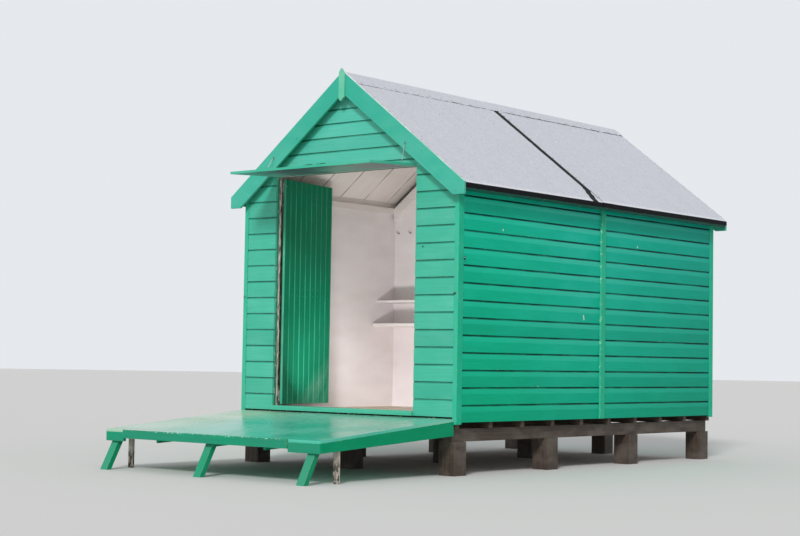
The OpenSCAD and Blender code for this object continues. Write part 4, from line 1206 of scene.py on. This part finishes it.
nail_on("nails_bargeboards_dark", chance.sample(barges, 7), nail_zinc, radius=0.0042,
        rise=0.0020)

# %% Nails in the deck
on_deck = Matrix.Translation((0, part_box("deck_boards")[0].y, DECK_NOSE_Z)) @ Matrix.Rotation(
    DECK_ANGLE, 4, "X")
decks = []
for k in range(DECK_COUNT):
    for x in (-1.1225, -0.555, 0.0485, 0.580, 1.1225):
        for part in (0.22, 0.78):
            spot = on_deck @ Vector((x, (k + part) * run / DECK_COUNT, 0))
            decks.append((spot, on_deck.to_3x3() @ Vector((0, 0, 1))))
nail_on("nails_deck", decks, deck_gloss, slot="hut_paint", shift=0.004)
edge_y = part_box("deck_front_edge")[0].y
edges_low = [((x, edge_y, z), (0, -1, 0)) for x in (-0.88, -0.50, -0.10, 0.36, 0.79)
             for z in (0.262, 0.288)]
nail_on("nails_deck_edge", edges_low, deck_edge_gloss, slot="hut_paint", shift=0.004)

# %% [markdown]
# The doors are nailed to their ledges from outside, two nails in each board. The places
# are worked out on a closed leaf and turned about its hinge, as the leaf itself is. These
# nails ride on the leaf, so they swing with it.

# %% Nails in the doors
OUTER_FACE = -0.027
for side, hinge in HINGES.items():
    hand = HANDS[side]
    swing = Matrix.Translation(hinge) @ Matrix.Rotation(hand * DOOR_OPEN, 4, "Z")
    spots = []
    for board in range(1, 9):
        for ledge in (0.150, 0.950, 1.750):
            for up in (-0.028, 0.028):
                local = Vector((hand * (LEAF_START + (board + 0.5) * DOOR_COVER), OUTER_FACE,
                                ledge + up))
                spots.append((swing @ local, swing.to_3x3() @ Vector((0, -1, 0))))
    nail_on(f"nails_door_{side}", spots, door_gloss[side], body=f"{side}_leaf",
            slot="door_paint", shift=0.003)

# %% [markdown]
# Clout nails hold the felt along the eaves, the verges, the lap and the strip on the ridge.
# The felt is rippled, so each nail is dropped on to it by casting a ray and takes the
# felt's own direction where it lands. Those in the fold were brushed over with bitumen.

# %% Clout nails in the felt
bpy.context.view_layer.update()


def land(piece, start, way):
    """The point and direction of a piece's surface where a ray meets it, or nothing."""
    found, at, normal, _ = piece.ray_cast(Vector(start), Vector(way))
    return [(at, normal)] if found else []


clouts, tarred_clouts = [], []
down = Vector((0, 0, -1))
for side in (-1, 1):
    for k in range(27):
        y = VERGE_FRONT + 0.06 + 0.15 * k
        sheet = back_felt if y > 1.80 else front_felt
        if not 1.62 < y < 1.99:
            tarred_clouts += land(sheet, (side * 1.6, y, FOLD_Z + 0.022), (-side, 0, 0))
        edge_x = CAP_FRONT - (y - VERGE_FRONT) * CAP_WAY.y / CAP_WAY.x - 0.016
        clouts += land(cap, (side * edge_x, y, 4), down)
    for k in range(14):
        x = side * (0.15 + 0.081 * k)
        clouts += land(front_felt, (x, VERGE_FRONT + 0.014, 4), down)
        clouts += land(back_felt, (x, VERGE_BACK - 0.012, 4), down)
        lap_y = RIDGE_LAP.y - LAP_WAY.x / LAP_WAY.y * abs(x)
        clouts += land(back_felt, (x, lap_y + 0.022, 4), down)
nail_on("clout_nails", clouts, nail_zinc, radius=0.0055, rise=0.0016, shift=0.004)
nail_on("clout_nails_tarred", tarred_clouts, bitumen, slot="roofing_felt",
        radius=0.0055, rise=0.0008, shift=0.004)
print(len(clouts) + len(tarred_clouts), "clout nails")
